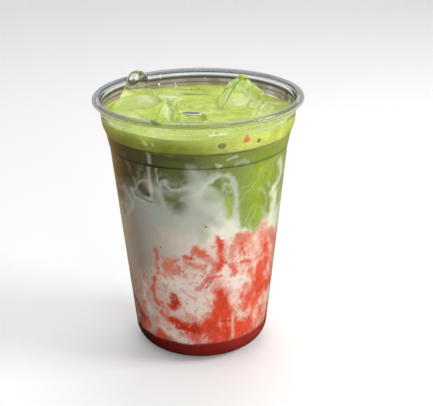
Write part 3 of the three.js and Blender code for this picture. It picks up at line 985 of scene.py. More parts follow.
@dataclass(frozen=True)
class DrinkFinish:
    """One layer of the drink: opaque, finely mottled, its colour from the swirl it sits in.

    The layers below the foam have no gloss of their own, as they lie against the cup, which has it.
    """

    name: str
    mottle_mm: float
    mottling: float
    roughness: float
    specular: float = 0.0
    fleck: str = ""
    fleck_mm: float = 1.0
    fleck_share: float = 0.0
    bubbles_mm: float = 0.0
    bubbling: float = 0.0

    def make(self) -> bpy.types.Material:
        """Colour from the swirl, fine mottling, flecks, and bubbles in the surface of the foam.

        Returns:
            The material.
        """
        material = bpy.data.materials.new(self.name)
        material.use_nodes = True
        tree = material.node_tree
        tree.nodes.clear()
        place = add_node(tree, "ShaderNodeTexCoord").outputs["Object"]
        tint = add_node(tree, "ShaderNodeAttribute", attribute_name="tint").outputs["Color"]
        noise = add_node(
            tree, "ShaderNodeTexNoise",
            {"Vector": place, "Scale": 1 / (self.mottle_mm * MM), "Detail": 3.0, "Roughness": 0.6},
        )
        lift = add_node(
            tree, "ShaderNodeMapRange",
            {"Value": noise.outputs["Fac"], "From Min": 0.3, "From Max": 0.7,
             "To Min": 1 - self.mottling, "To Max": 1 + self.mottling},
        )
        shade = add_node(
            tree, "ShaderNodeVectorMath", {0: tint, 1: lift.outputs["Result"]}, operation="MULTIPLY"
        ).outputs["Vector"]
        if self.fleck:
            spots = add_node(
                tree, "ShaderNodeTexVoronoi",
                {"Vector": place, "Scale": 1 / (self.fleck_mm * MM), "Randomness": 1.0},
            )
            cover = add_node(
                tree, "ShaderNodeMapRange",
                {"Value": spots.outputs["Distance"], "From Min": 0.32, "From Max": 0.16,
                 "To Min": 0.0, "To Max": self.fleck_share},
            )
            shade = add_node(
                tree, "ShaderNodeMix",
                {0: cover.outputs["Result"], 6: shade, 7: rgba(self.fleck)}, data_type="RGBA",
            ).outputs[2]
        inputs = {
            "Base Color": shade, "Roughness": self.roughness, "Specular IOR Level": self.specular,
            "IOR": DRINK_IOR,
        }
        if self.bubbles_mm:
            cells = add_node(
                tree, "ShaderNodeTexVoronoi",
                {"Vector": place, "Scale": 1 / (self.bubbles_mm * MM), "Smoothness": 0.4},
                feature="SMOOTH_F1",
            )
            inputs["Normal"] = add_node(
                tree, "ShaderNodeBump",
                {"Height": cells.outputs["Distance"], "Strength": self.bubbling,
                 "Distance": self.bubbles_mm * MM * 0.5},
            ).outputs["Normal"]
        wet = add_node(tree, "ShaderNodeBsdfPrincipled", inputs)
        add_node(tree, "ShaderNodeOutputMaterial", {"Surface": wet.outputs["BSDF"]})
        return material


@dataclass(frozen=True)
class PlainFinish:
    """A small piece's finish: one colour with a faint mottle, wet or dry."""

    name: str
    colour: str
    second: str
    mottle_mm: float
    roughness: float

    def make(self) -> bpy.types.Material:
        """Two close colours in a fine mottle.

        Returns:
            The material.
        """
        material = bpy.data.materials.new(self.name)
        material.use_nodes = True
        tree = material.node_tree
        tree.nodes.clear()
        place = add_node(tree, "ShaderNodeTexCoord").outputs["Object"]
        noise = add_node(
            tree, "ShaderNodeTexNoise",
            {"Vector": place, "Scale": 1 / (self.mottle_mm * MM), "Detail": 2.0},
        )
        shade = add_node(
            tree, "ShaderNodeMix",
            {0: noise.outputs["Fac"], 6: rgba(self.colour), 7: rgba(self.second)}, data_type="RGBA",
        ).outputs[2]
        surface = add_node(
            tree, "ShaderNodeBsdfPrincipled", {"Base Color": shade, "Roughness": self.roughness}
        )
        add_node(tree, "ShaderNodeOutputMaterial", {"Surface": surface.outputs["BSDF"]})
        return material


@dataclass(frozen=True)
class FilmFinish:
    """Latte film on plastic: matt and see-through, with painted light in its colour."""

    name: str = "latte_film_and_painted_light"
    roughness: float = 0.5

    def make(self) -> bpy.types.Material:
        """Colour and cover from the film's own attributes.

        Returns:
            The material.
        """
        material = bpy.data.materials.new(self.name)
        material.use_nodes = True
        tree = material.node_tree
        tree.nodes.clear()
        tint = add_node(tree, "ShaderNodeAttribute", attribute_name="tint").outputs["Color"]
        cover = add_node(tree, "ShaderNodeAttribute", attribute_name="cover").outputs["Fac"]
        film = add_node(
            tree, "ShaderNodeBsdfPrincipled",
            {"Base Color": tint, "Alpha": cover, "Roughness": self.roughness,
             "Specular IOR Level": 0.1},
        )
        add_node(tree, "ShaderNodeOutputMaterial", {"Surface": film.outputs["BSDF"]})
        return material


# Colour of clean PET; the lip, where the sheet is rolled, looks greyer
CLEAR = "fbfdfa"


@dataclass
class CupShell:
    """The clear cup: a thin turned wall with its lines, shoulder, stacking bead and rolled lip."""

    columns: int = 288
    sizes: CupSizes = field(default_factory=CupSizes)

    def wall_heights(self) -> np.ndarray:
        """Heights along the wall, close together where it steps.

        Returns:
            The heights, from the base corner up.
        """
        levels = [11, 30, 50, 70, 90, 100.6, 101.2, 101.35, 101.5, 101.65, 101.8, 102.4, 105, 107.6,
                  108.2, 108.35, 108.5, 108.65, 108.8, 109.4, 110.4, 111.4, 112.2, 113, 114, 115,
                  116.1, 116.5, 116.8, 117.1, 117.3, 117.5, 117.7, 117.9, 118.2, 118.5, 118.9,
                  119.6, 120.5, 121.4]
        return np.array(levels)

    def corner_arc(self, inset: float) -> np.ndarray:
        """The rounded corner between base and wall.

        Args:
            inset: How far it is drawn in from the outer face.

        Returns:
            Radius and height of each point, from the foot up.
        """
        s = self.sizes
        turns = np.linspace(-math.pi / 2, -s.lean, 15)
        reach = s.corner - inset
        return np.c_[s.corner_centre + reach * np.cos(turns), s.corner + reach * np.sin(turns)]

    def profile(self) -> np.ndarray:
        """The cup's section, from the middle of the base and back to it.

        Returns:
            Radius and height of each point.
        """
        s = self.sizes
        heights = self.wall_heights()[1:]
        outer = np.c_[s.radius(heights, 0), heights]
        inner = np.c_[s.radius(heights, s.wall), heights]
        raised = s.foot_inner - s.base_raise
        bead = np.array([s.rim_radius - s.lip_bead, s.height - s.lip_bead])
        under = np.radians(np.linspace(90, -135, 14))
        over = np.radians(np.linspace(-135, 90, 22))
        lip = np.concatenate([
            [(45.42, 122.1), (45.62, 122.75), (46.05, 123.2), (46.6, 123.38), (47.2, 123.41)],
            bead + 0.66 * np.c_[np.cos(under), np.sin(under)],
            bead + 0.95 * np.c_[np.cos(under[-1:] - 0.22), np.sin(under[-1:] - 0.22)],
            bead + s.lip_bead * np.c_[np.cos(over), np.sin(over)],
            [(47.1, 124), (46.5, 123.98), (46.05, 123.86), (45.8, 123.6), (45.6, 123.25),
             (45.2, 122.75), (44.95, 122.3), (44.84, 121.85)],
        ])
        return np.concatenate([
            [(0, s.base_raise), (8, s.base_raise), (raised, s.base_raise), (s.foot_inner, 0)],
            self.corner_arc(0), outer, lip, inner[::-1], self.corner_arc(s.wall)[::-1],
            [(s.foot_inner, s.wall), (raised, s.base_raise + s.wall), (8, s.base_raise + s.wall),
             (0, s.base_raise + s.wall)],
        ])

    def build(self, finish: bpy.types.Material) -> bpy.types.Object:
        """Turns the section round and closes it.

        Args:
            finish: The cup's plastic.

        Returns:
            The cup.
        """
        profile = self.profile()
        turn = np.linspace(0, 2 * math.pi, self.columns, endpoint=False)
        radius, height = profile[:, 0][:, None], profile[:, 1][:, None]
        points = np.stack(
            [radius * np.sin(turn), -radius * np.cos(turn), height + 0 * turn], -1
        ).reshape(-1, 3)
        x, y, z = points.T
        lip = ease(121.2, 121.9, z) * ease(44.7, 45.0, np.hypot(x, y))
        edge = Brew.along(
            np.degrees(np.arctan2(x, -y)), (-180, "c9ccd2"), (-75, "c6c9cc"), (-45, "d6dabc"),
            (0, "dfe5b8"), (45, "e2e6c2"), (75, "cdd0cc"), (180, "c9ccd2"),
        )
        tint = linear(CLEAR) + (edge - linear(CLEAR)) * lip[:, None]
        faces = grid_faces(len(profile), self.columns)
        piece = make_piece("clear_cup", points, faces, finish, {"tint": tint})
        close_up(piece)
        return piece


def close_up(piece: bpy.types.Object) -> None:
    """Drops faces that shrank to a line or a point, and turns all faces outwards.

    Args:
        piece: The piece to mend.
    """
    work = bmesh.new()
    work.from_mesh(piece.data)
    bmesh.ops.dissolve_degenerate(work, dist=1e-7, edges=work.edges)
    bmesh.ops.recalc_face_normals(work, faces=work.faces)
    work.to_mesh(piece.data)
    work.free()
    smooth(piece.data)


@dataclass(frozen=True)
class Layer:
    """One layer of the drink, between two surfaces and out into the cup's wall."""

    name: str
    node: str
    slot: str
    bottom: Height
    top: Height
    rows: int
    finish: DrinkFinish
    top_rings: int = 8
    columns: int = 480
    into_wall: float = INTO_WALL

    def build(self, brew: Brew) -> bpy.types.Object:
        """Makes the layer as a closed solid.

        Args:
            brew: The drink's colours.

        Returns:
            The layer.
        """
        low = np.linspace(0, 1, 9)[:-1]
        high = np.linspace(1, 0, self.top_rings + 1)[1:]
        share = np.concatenate([low, np.ones(self.rows + 1), high])
        level = np.concatenate([0 * low, np.linspace(0, 1, self.rows + 1), 0 * high + 1])
        bearing = np.linspace(-180, 180, self.columns, endpoint=False)[None, :]
        share, level = share[:, None] + 0 * bearing, level[:, None] + 0 * bearing
        bearing = bearing + 0 * share
        bottom, top = self.bottom(bearing, share), self.top(bearing, share)
        height = bottom + (top - bottom) * level
        radius = share * CUP.radius(height, CUP.wall - self.into_wall)
        turn = np.radians(bearing)
        points = np.stack([radius * np.sin(turn), -radius * np.cos(turn), height], -1)
        points = points.reshape(-1, 3)
        colour = brew.colour(points)
        points, colour = self.shape_top(points, colour, (level * (share < 1)).ravel() > 0.5)
        piece = make_piece(
            self.name, points, grid_faces(len(share), self.columns), self.finish.make(),
            {"tint": colour}
        )
        close_up(piece)
        return piece

    def shape_top(
        self, points: np.ndarray, colour: np.ndarray, on_top: np.ndarray
    ) -> tuple[np.ndarray, np.ndarray]:
        """Leaves the top as it is: only the foam's shows."""
        return points, colour


@dataclass(frozen=True)
class FoamLayer(Layer):
    """The foam on top, sunk under the ice, with fine bubbles, creamy patches and darker pools."""

    sink: float = 1.2

    def shape_top(
        self, points: np.ndarray, colour: np.ndarray, on_top: np.ndarray
    ) -> tuple[np.ndarray, np.ndarray]:
        """Sinks the foam under the ice and colours what shows from above.

        Args:
            points: The layer's points.
            colour: Their colours from the swirl.
            on_top: Which of them are on the top surface.

        Returns:
            The points and colours, changed.
        """
        points, colour = points.copy(), colour.copy()
        top = points[on_top]
        grain = Grain(8)
        depth = ice_depth(top)
        sunk = ease(0.1, 2.0, depth)
        x, y, _ = top.T
        froth = grain.rough(top, 6.0, 3)
        shade = Brew.along(
            np.degrees(np.arctan2(x, -y)), (-180, "cfe064"), (-70, "cadd64"), (0, "c9db5c"),
            (90, "c8d865"), (180, "cfe064"),
        )
        cream = ease(0.15, 0.9, grain.rough(top + 40, 8.0, 4))
        pool = ease(0.15, 0.8, grain.rough(top * np.array([1, 1.7, 1]) + 80, 10.0, 4))
        shade += (linear("dfe9a4") - shade) * (0.5 * cream)[:, None]
        shade += (linear("a3ba42") - shade) * (0.6 * pool)[:, None]
        rim = ease(-1.8, -0.2, depth) * (1 - sunk)
        shade += (linear("a8bc48") - shade) * (0.55 * rim)[:, None]
        shade += (linear("c6d383") - shade) * (0.8 * sunk)[:, None]
        place = top[:, :2] + 0.5 * np.c_[
            grain.rough(top + 9, 2.5, 2), grain.rough(top + 19, 2.5, 2)
        ]
        for code, strength, width, line in FOLDS:
            edge = line_distance(place, np.array(line)) + 0.12 * width * froth
            cover = strength * (1 - ease(0.2 * width, 0.8 * width + 0.2, edge))
            shade += (linear(code) - shade) * cover[:, None]
        top[:, 2] += 0.25 * froth * (1 - sunk)
        top[:, 2] += 0.35 * ease(-1.6, -0.1, depth) * (1 - ease(0, 0.5, depth))
        top[:, 2] -= self.sink * sunk
        points[on_top], colour[on_top] = top, shade
        return points, colour


@dataclass
class IcePieces:
    """The ice that stands out of the foam."""

    steps: int = 44
    dent: float = 0.16

    def build(self) -> None:
        """Makes each piece of ice from its blocks and puts it in its place."""
        finish = ClearIce().make()
        for name, blocks in ICE.items():
            parts = []
            for block in blocks:
                points, faces = block.surface(self.steps, self.dent)
                part = make_piece(f"{name}_block", points, faces, finish)
                close_up(part)
                parts.append(part)
            piece = parts[0]
            for other in parts[1:]:
                self.combine(piece, other, "UNION")
            if name == "ice_hollow":
                self.combine(piece, self.hollow(), "DIFFERENCE")
            piece.name = piece.data.name = f"{name}_melted"
            settle(piece, "ice", name)

    @staticmethod
    def hollow() -> bpy.types.Object:
        """The hollow in the top of the front block, as an ellipsoid.

        Returns:
            The shape that is cut away.
        """
        work = bmesh.new()
        bmesh.ops.create_icosphere(work, subdivisions=5, radius=1)
        turn = Euler((0, 0, math.radians(-20))).to_matrix()
        for vert in work.verts:
            vert.co = (turn @ (vert.co * Vector((5, 3.4, 3.2))) + Vector((-3.2, -14.9, 120))) * MM
        mesh = bpy.data.meshes.new("hollow")
        work.to_mesh(mesh)
        work.free()
        tool = bpy.data.objects.new("hollow", mesh)
        bpy.context.scene.collection.objects.link(tool)
        return tool

    @staticmethod
    def combine(piece: bpy.types.Object, other: bpy.types.Object, operation: str) -> None:
        """Joins another block to a piece, or cuts it away, and removes the other block.

        Args:
            piece: The piece that changes.
            other: The block that is joined or cut away.
            operation: The boolean's name.
        """
        modifier = piece.modifiers.new("combine", "BOOLEAN")
        modifier.operation, modifier.solver, modifier.object = operation, "MANIFOLD", other
        mesh = bpy.data.meshes.new_from_object(
            piece.evaluated_get(bpy.context.evaluated_depsgraph_get())
        )
        piece.modifiers.clear()
        piece.data = mesh
        smooth(mesh)
        bpy.data.objects.remove(other)


class Scatter:
    """Small round things spread over a surface by Geometry Nodes."""

    def __init__(self) -> None:
        """Builds the tree, with named inputs for its sizes."""
        tree = bpy.data.node_groups.new("scattered_beads", "GeometryNodeTree")
        face = tree.interface
        face.new_socket("Geometry", in_out="INPUT", socket_type="NodeSocketGeometry")
        self.inputs = {
            name: face.new_socket(name, in_out="INPUT", socket_type=kind).identifier
            for name, kind in (
                ("Density", "NodeSocketFloat"), ("Seed", "NodeSocketInt"),
                ("Smallest", "NodeSocketFloat"),
                ("Largest", "NodeSocketFloat"), ("Flatness", "NodeSocketFloat"),
                ("Finish", "NodeSocketMaterial"),
            )
        }
        face.new_socket("Geometry", in_out="OUTPUT", socket_type="NodeSocketGeometry")
        given = add_node(tree, "NodeGroupInput").outputs
        points = add_node(
            tree, "GeometryNodeDistributePointsOnFaces",
            {"Mesh": given["Geometry"], "Density": given["Density"], "Seed": given["Seed"]},
        )
        bead = add_node(tree, "GeometryNodeMeshIcoSphere", {"Radius": 1.0, "Subdivisions": 1})
        smooth = add_node(tree, "GeometryNodeSetShadeSmooth", {"Geometry": bead.outputs["Mesh"]})
        size = add_node(
            tree, "FunctionNodeRandomValue",
            {2: given["Smallest"], 3: given["Largest"], "Seed": given["Seed"]}, data_type="FLOAT",
        ).outputs[1]
        thick = add_node(tree, "ShaderNodeMath", {0: size, 1: given["Flatness"]},
                         operation="MULTIPLY")
        scale = add_node(tree, "ShaderNodeCombineXYZ",
                         {"X": size, "Y": size, "Z": thick.outputs[0]})
        placed = add_node(
            tree, "GeometryNodeInstanceOnPoints",
            {"Points": points.outputs["Points"], "Instance": smooth.outputs["Geometry"],
             "Rotation": points.outputs["Rotation"], "Scale": scale.outputs["Vector"]},
        )
        real = add_node(tree, "GeometryNodeRealizeInstances",
                        {"Geometry": placed.outputs["Instances"]})
        dressed = add_node(
            tree, "GeometryNodeSetMaterial",
            {"Geometry": real.outputs["Geometry"], "Material": given["Finish"]},
        )
        add_node(tree, "NodeGroupOutput", {"Geometry": dressed.outputs["Geometry"]})
        self.tree = tree

    def over(
        self, name: str, points: np.ndarray, faces: Sequence, finish: bpy.types.Material,
        **sizes: float
    ) -> bpy.types.Object:
        """Spreads beads over a patch.

        Args:
            name: The new piece's name.
            points: The patch's points.
            faces: Its faces.
            finish: The beads' material.
            sizes: The tree's inputs by name.

        Returns:
            The beads as a plain mesh.
        """
        patch = make_piece(f"{name}_patch", points, faces, None)
        modifier = patch.modifiers.new("beads", "NODES")
        modifier.node_group = self.tree
        modifier[self.inputs["Finish"]] = finish
        for key, value in sizes.items():
            modifier[self.inputs[key]] = value
        mesh = bpy.data.meshes.new_from_object(
            patch.evaluated_get(bpy.context.evaluated_depsgraph_get())
        )
        patch.modifiers.clear()
        bpy.data.objects.remove(patch)
        mesh.name = name
        piece = bpy.data.objects.new(name, mesh)
        bpy.context.scene.collection.objects.link(piece)
        return piece


def wall_patch(
    bearings: tuple[float, float], low: Height, high: Height, inset: float, steps: tuple[int, int]
) -> tuple[np.ndarray, list]:
    """A patch that follows the wall between two bearings and two surfaces.

    Args:
        bearings: Where it starts and ends.
        low: Its lower edge.
        high: Its upper edge.
        inset: How far inside the wall's outer face it lies.
        steps: Faces round and faces up.

    Returns:
        Its points and its faces.
    """
    bearing = np.linspace(*bearings, steps[0] + 1)[None, :] + np.zeros((steps[1] + 1, 1))
    level = np.linspace(0, 1, steps[1] + 1)[:, None]
    height = low(bearing, 1.0) + (high(bearing, 1.0) - low(bearing, 1.0)) * level
    radius, turn = CUP.radius(height, inset), np.radians(bearing)
    points = np.stack([radius * np.sin(turn), -radius * np.cos(turn), height], -1).reshape(-1, 3)
    width = steps[0] + 1
    faces = [
        (r * width + c, r * width + c + 1, (r + 1) * width + c + 1, (r + 1) * width + c)
        for r in range(steps[1]) for c in range(steps[0])
    ]
    return points, faces


def blob(centre: Sequence[float], size: Sequence[float], seed: int, dent: float, turn: float = 0.0,
         detail: int = 4) -> tuple[np.ndarray, list]:
    """A lumpy ellipsoid, for a drop, a bubble or a bit of fruit.

    Args:
        centre: Its middle.
        size: Its three half sizes, the first along the wall.
        seed: Seed of its lumps.
        dent: Depth of its lumps.
        turn: Bearing that it faces.
        detail: How finely it is divided.

    Returns:
        Its points and its faces.
    """
    work = bmesh.new()
    bmesh.ops.create_icosphere(work, subdivisions=detail, radius=1)
    points = np.array([vert.co for vert in work.verts])
    faces = [tuple(vert.index for vert in face.verts) for face in work.faces]
    work.free()
    points *= (1 + dent * Grain(seed).rough(points * 3, 2.2, 2))[:, None]
    points = points * np.array(size)
    facing = np.array(Euler((0, 0, math.radians(turn))).to_matrix())
    return points @ facing.T + np.array(centre), faces


def at_wall(bearing: float, height: float, inset: float) -> tuple[float, float, float]:
    """A place on the wall, drawn in from its outer face."""
    radius, turn = float(CUP.radius(np.array(height), inset)), math.radians(bearing)
    return (radius * math.sin(turn), -radius * math.cos(turn), height)


# Whisked matcha drawn over air: wet, so each bubble glints a little paler than the foam
FROTH = PlainFinish("foam_bubble_skin", "d2e27a", "b9cc5a", 0.8, 0.12)
# The green down between bubbles, which makes the foam look open
PIT = PlainFinish("foam_bubble_gap", "93a93a", "7f9634", 0.8, 0.2)
# A large open bubble: dark, since one looks through its skin into the drink
OPEN_BUBBLE = PlainFinish("open_bubble", "667c34", "96a85a", 1.6, 0.15)
# A small bubble pressed to the wall, pale as a painted highlight and wet
BUBBLE_GLINT = PlainFinish("bubble_painted_highlight", "eff4c0", "dfeaa0", 0.8, 0.1)
# Strawberry flesh: red, mottled with a paler orange
RED_BIT = PlainFinish("strawberry_flesh_bit", "e0603c", "e89a62", 0.9, 0.4)
# Strawberry seed: brown, with little gloss
SEED = PlainFinish("strawberry_seed", "5e2f22", "8a5236", 0.5, 0.45)
# Matcha that ran down the lip: glossy bright green
DRIP = PlainFinish("matcha_drip", "8ba42a", "b0c744", 1.5, 0.2)
# Foam caught on ice: pale green and moist
ICE_FOAM = PlainFinish("foam_on_ice", "a4bc44", "c8da6c", 1.2, 0.25)
# Undissolved matcha powder: very dark green, with little gloss
GRAIN = PlainFinish("matcha_grain", "37431a", "4c5a24", 0.6, 0.4)
# Matcha drawn into a crack in the ice: a thin dark green line
CRACK = PlainFinish("matcha_in_crack", "55692c", "76893c", 1.0, 0.2)
# Drops on the wall, white as painted highlights, with a wet gloss
GLINT_DROP = PlainFinish("drop_painted_highlight", "fbfbf6", "eff1ea", 0.8, 0.12)
# Melt water tinted with matcha: dark green and very smooth
POOL = PlainFinish("matcha_melt_water", "44572a", "6f8248", 2.0, 0.08)
# Painted highlights along the ice's edges: pale lines with a soft gloss
EDGE_HIGHLIGHT = PlainFinish("ice_edge_painted_highlight", "f2f6dc", "dfe9b4", 1.0, 0.25)

# Bearings and heights of the seeds that lie against the wall
LARGE_SEEDS: tuple = (
    (-30.3, 41.4), (-26.3, 41.7), (-28.3, 37.8), (3.4, 42.0), (7.2, 44.5), (-19.0, 13.7),
    (-29.3, 61.1), (-55.0, 40.0), (18.4, 53.9), (42.2, 20.6), (12.8, 66.3),
)


# Painted highlights along the edges of the crown of ice, from its knob down to the foam
CROWN_LINES: tuple = (
    ((-35.2, 16.0, 120.5), (-37.4, 13.5, 117.6), (-40.0, 10.0, 114.9)),
    ((-22.4, 18.0, 121.8), (-20.4, 16.0, 119.0), (-18.9, 12.5, 115.6)),
    ((-34.6, 15.2, 126.2), (-34.8, 15.0, 123.0), (-35.4, 15.4, 120.0)),
)


@dataclass
class Trimmings:
    """Bubbles, seeds, bits of strawberry, drips, drops and the wall's film, some with painted
    light.
    """

    scatter: Scatter = field(default_factory=Scatter)

    def build(self) -> None:
        """Makes each of them and puts it in its place."""
        self.bubbles()
        self.seeds()
        self.film()
        self.drops()

    def bubbles(self) -> None:
        """Fine bubbles on the foam and against the wall, and the few large ones."""
        froth = FROTH.make()
        rings = np.linspace(0.02, 0.985, 40)[:, None]
        bearing = np.linspace(-180, 180, 96, endpoint=False)[None, :] + 0 * rings
        share = rings + 0 * bearing
        height = foam_top(bearing, share) + 0.02
        radius, turn = share * CUP.radius(height, CUP.wall + 0.3), np.radians(bearing)
        points = np.stack([radius * np.sin(turn), -radius * np.cos(turn), height], -1)
        points = points.reshape(-1, 3)
        faces = grid_faces(40, 96)
        open_foam = ice_depth(points) < -0.6
        faces = faces[open_foam[faces].all(1)]
        settle(
            self.scatter.over("foam_bubbles", points, faces, froth, Density=90000.0, Seed=3,
                              Smallest=0.00014, Largest=0.00055, Flatness=0.5),
            "foam",
        )
        pits = PIT.make()
        settle(
            self.scatter.over("foam_pits", points, faces, pits, Density=30000.0, Seed=8,
                              Smallest=0.00016, Largest=0.00045, Flatness=0.4),
            "foam",
        )
        dark = OPEN_BUBBLE.make()
        parts = [
            blob(at_wall(b, h, CUP.wall + 0.12), (r, 0.35, r), 3, 0.03, b, 3)
            for b, h, r in ((13.0, 113.3, 2.0), (36.2, 112.9, 1.45), (3.7, 73.1, 0.7))
        ]
        parts += [
            blob((x, y, 115.9), (r, r * 0.8, 0.3), 31, 0.05, 0, 2)
            for x, y, r in ((12.1, 33.4, 0.75), (15.8, 34.6, 0.55), (20.6, 36.9, 0.7),
                            (22.8, 37.1, 0.5), (3.5, 33.6, 0.35), (9.4, 12.0, 0.4), (0.8, 7.4, 0.5),
                            (27.5, -8.0, 0.35))
        ]
        settle(join_parts("wall_bubbles", parts, dark), "foam")
        # Small bubbles pressed to the front wall, painted pale as highlights
        pale = BUBBLE_GLINT.make()
        parts = [
            blob(at_wall(b, h, CUP.wall - 0.02), (r, 0.16, r), 5, 0.02, b, 2)
            for b, h, r in ((-33.9, 112.6, 0.38), (-14.0, 112.2, 0.3), (-15.3, 114.0, 0.26),
                            (0.4, 115.1, 0.24), (-24.0, 114.6, 0.2), (5.5, 112.4, 0.18),
                            (18.0, 115.6, 0.2))
        ]
        settle(join_parts("wall_specks_painted_highlight", parts, pale), "foam")
        red = RED_BIT.make()
        flesh = blob(at_wall(27.8, 114.2, CUP.wall + 0.25), (2.2, 0.5, 1.7), 9, 0.22, 27.8)
        settle(join_parts("strawberry_bit", [flesh], red), "strawberry")

    def seeds(self) -> None:
        """Strawberry seeds against the wall, fine and large."""
        seed = SEED.make()
        points, faces = wall_patch(
            (-180, 180), lambda b, s: syrup_top(b, 1) + 2, lambda b, s: strawberry_top(b, 1) + 4,
            0.5, (120, 16),
        )
        settle(
            self.scatter.over("scattered_seeds", points, faces, seed, Density=9000.0, Seed=11,
                              Smallest=0.00013, Largest=0.0003, Flatness=0.35),
            "strawberry",
        )
        large = [
            blob(at_wall(b, h, CUP.wall + 0.02), (0.42, 0.22, 0.5), 14, 0.15, b, 2)
            for b, h in LARGE_SEEDS
        ]
        settle(join_parts("large_seeds", large, seed), "strawberry")

    def film(self) -> None:
        """The film the drink left on the wall between the foam and the lip.

        Its colour also holds painted shade, a painted highlight and, at the back, a painted
        reflection of the surroundings.
        """
        points, faces = wall_patch(
            (-180, 180), lambda b, s: 115.0 + 0 * b, lambda b, s: 121.3 + 0 * b, CUP.wall + 0.03,
            (360, 24)
        )
        x, y, z = points.T
        bearing = np.degrees(np.arctan2(x, -y))
        # At the back the film's brown and its cover stand for the surroundings seen through the
        # wall, a painted reflection; in front it is a faint green film of latte
        back = ease(35, 100, np.abs(bearing))
        tint = Brew.along(
            bearing, (-180, "836b3e"), (-90, "93874f"), (-40, "c3cf74"), (0, "c8d47a"),
            (60, "c8d47a"), (110, "92783e"), (180, "8a7448"),
        )
        cover = 0.14 + 0.77 * back
        cover *= 0.85 + 0.2 * Grain(21).rough(points * np.array([1, 1, 0.35]), 4.0, 3)
        # Painted light under the lip: a dark line of painted shade at the wall's step at 117.5, a
        # dark painted shadow under the bead at 120.15, and a grey painted highlight at 121.15
        painted_light_bands = ((117.5, 0.25, "5a5238"), (120.15, 0.66, "24211c"), (121.15, 0.26, "9fa19c"))
        for height, width, code in painted_light_bands:
            painted_band = np.exp(-(((z - height) / width) ** 4)) * back
            tint += (linear(code) - tint) * painted_band[:, None]
            cover += (0.92 - cover) * painted_band
        finish = FilmFinish().make()
        shown = {"cover": np.clip(cover, 0, 1), "tint": tint}
        piece = make_piece("wall_film_and_painted_light", points, faces, finish, shown)
        settle(piece, "foam")

    def drops(self) -> None:
        """The drip on the lip, foam caught on the corner of the ice, and drops on the wall."""
        green = DRIP.make()
        parts = [
            blob((-17.5, -43.2, 123.15), (2.5, 1.55, 1.4), 4, 0.1, -22),
            blob((-17.4, -42.2, 123.8), (3.3, 1.4, 0.7), 6, 0.12, -22),
        ]
        settle(join_parts("lip_drip", parts, green), "matcha")
        foam = ICE_FOAM.make()
        parts = [
            blob((21.2, 15.4, 127.4), (2.3, 1.5, 1.3), 11, 0.2, 10),
            blob((23.0, 14.9, 126.4), (0.8, 0.6, 0.5), 2, 0.1),
        ]
        settle(join_parts("foam_on_corner", parts, foam), "foam")
        dark = GRAIN.make()
        settle(join_parts("matcha_grains", [
            blob((22.9, 14.0, 126.9), (0.42, 0.3, 0.34), 12, 0.1, 10, 2),
            blob((-3.1, 33.4, 116.9), (0.35, 0.3, 0.2), 13, 0.1, 0, 2),
        ], dark), "foam")
        line = [
            (20.9, 14.9, 127.9), (18.2, 11.9, 125.3), (15.4, 8.3, 121.6), (12.4, 4.1, 117.4),
            (10.4, 0.6, 115.9)
        ]
        green = CRACK.make()
        settle(join_parts("edge_line", [tube_shape(line, 0.2)], green), "foam")
        # Drops on the back wall, painted white where the wall shows small highlights
        white = GLINT_DROP.make()
        parts = [
            blob((-19.3, 40.2, 117.8), (0.75, 0.2, 0.6), 21, 0.15, 206, 2),
            blob((-11.2, 43.1, 117.0), (0.28, 0.2, 1.0), 22, 0.1, 194, 2),
            blob((-10.9, 43.2, 115.9), (0.5, 0.2, 0.55), 23, 0.15, 194, 2),
            blob((-18.5, 40.6, 121.6), (0.35, 0.2, 1.2), 24, 0.1, 205, 2),
            blob((3.6, 44.4, 119.4), (0.4, 0.2, 0.3), 25, 0.1, 175, 2),
        ]
        settle(join_parts("wall_drops_painted_highlight", parts, white), "milk")
        pool = POOL.make()
        parts = [blob((-3.2, -14.7, 118.85), (4.2, 2.8, 0.25), 26, 0.05, -20)]
        settle(join_parts("hollow_pool", parts, pool), "matcha")
        # Painted highlights: a pale ring round the hollow in the ice, and pale lines on the crown
        block = ICE["ice_hollow"][0]
        normal = block.rotation[:, 2]
        turn = np.linspace(-math.pi, math.pi, 25)
        ring = np.c_[4.9 * np.cos(turn), 3.4 * np.sin(turn)]
        ring = ring @ np.array([[0.94, -0.342], [0.342, 0.94]])
        ring += np.array([-3.2, -14.9])
        level = normal @ (np.array(block.centre) + normal * 9.0)
        height = (level - ring @ normal[:2]) / normal[2]
        edge_glint = EDGE_HIGHLIGHT.make()
        parts = [tube_shape(np.c_[ring, height + 0.05], 0.24)]
        for line in CROWN_LINES:
            parts.append(tube_shape(np.array(line), 0.16))
        settle(join_parts("ice_edge_highlight_lines", parts, edge_glint), "ice")


def tube_shape(line: Sequence, radius: float) -> tuple[np.ndarray, list]:
    """A thin round line that tapers at its ends.

    Args:
        line: Points it follows.
        radius: Its radius in the middle.

    Returns:
        Its points and its faces.
    """
    stops = np.array(line)
    rows = np.linspace(0, len(stops) - 1, 49)
    fine = np.stack([np.interp(rows, range(len(stops)), c) for c in stops.T], 1)
    way = np.gradient(fine, axis=0)
    way /= np.linalg.norm(way, axis=1, keepdims=True)
    side = np.cross(way, (0, 0, 1.0))
    side /= np.linalg.norm(side, axis=1, keepdims=True)
    over = np.cross(side, way)
    size = radius * np.sqrt(np.sin(np.linspace(0.02, math.pi - 0.02, 49)))[:, None]
    turn = np.linspace(0, 2 * math.pi, 8, endpoint=False)
    rings = [fine + size * (side * math.cos(t) + over * math.sin(t)) for t in turn]
    points = np.stack(rings, 1).reshape(-1, 3)
    return points, grid_faces(49, 8).tolist() + [list(range(8)), list(range(384, 392))]


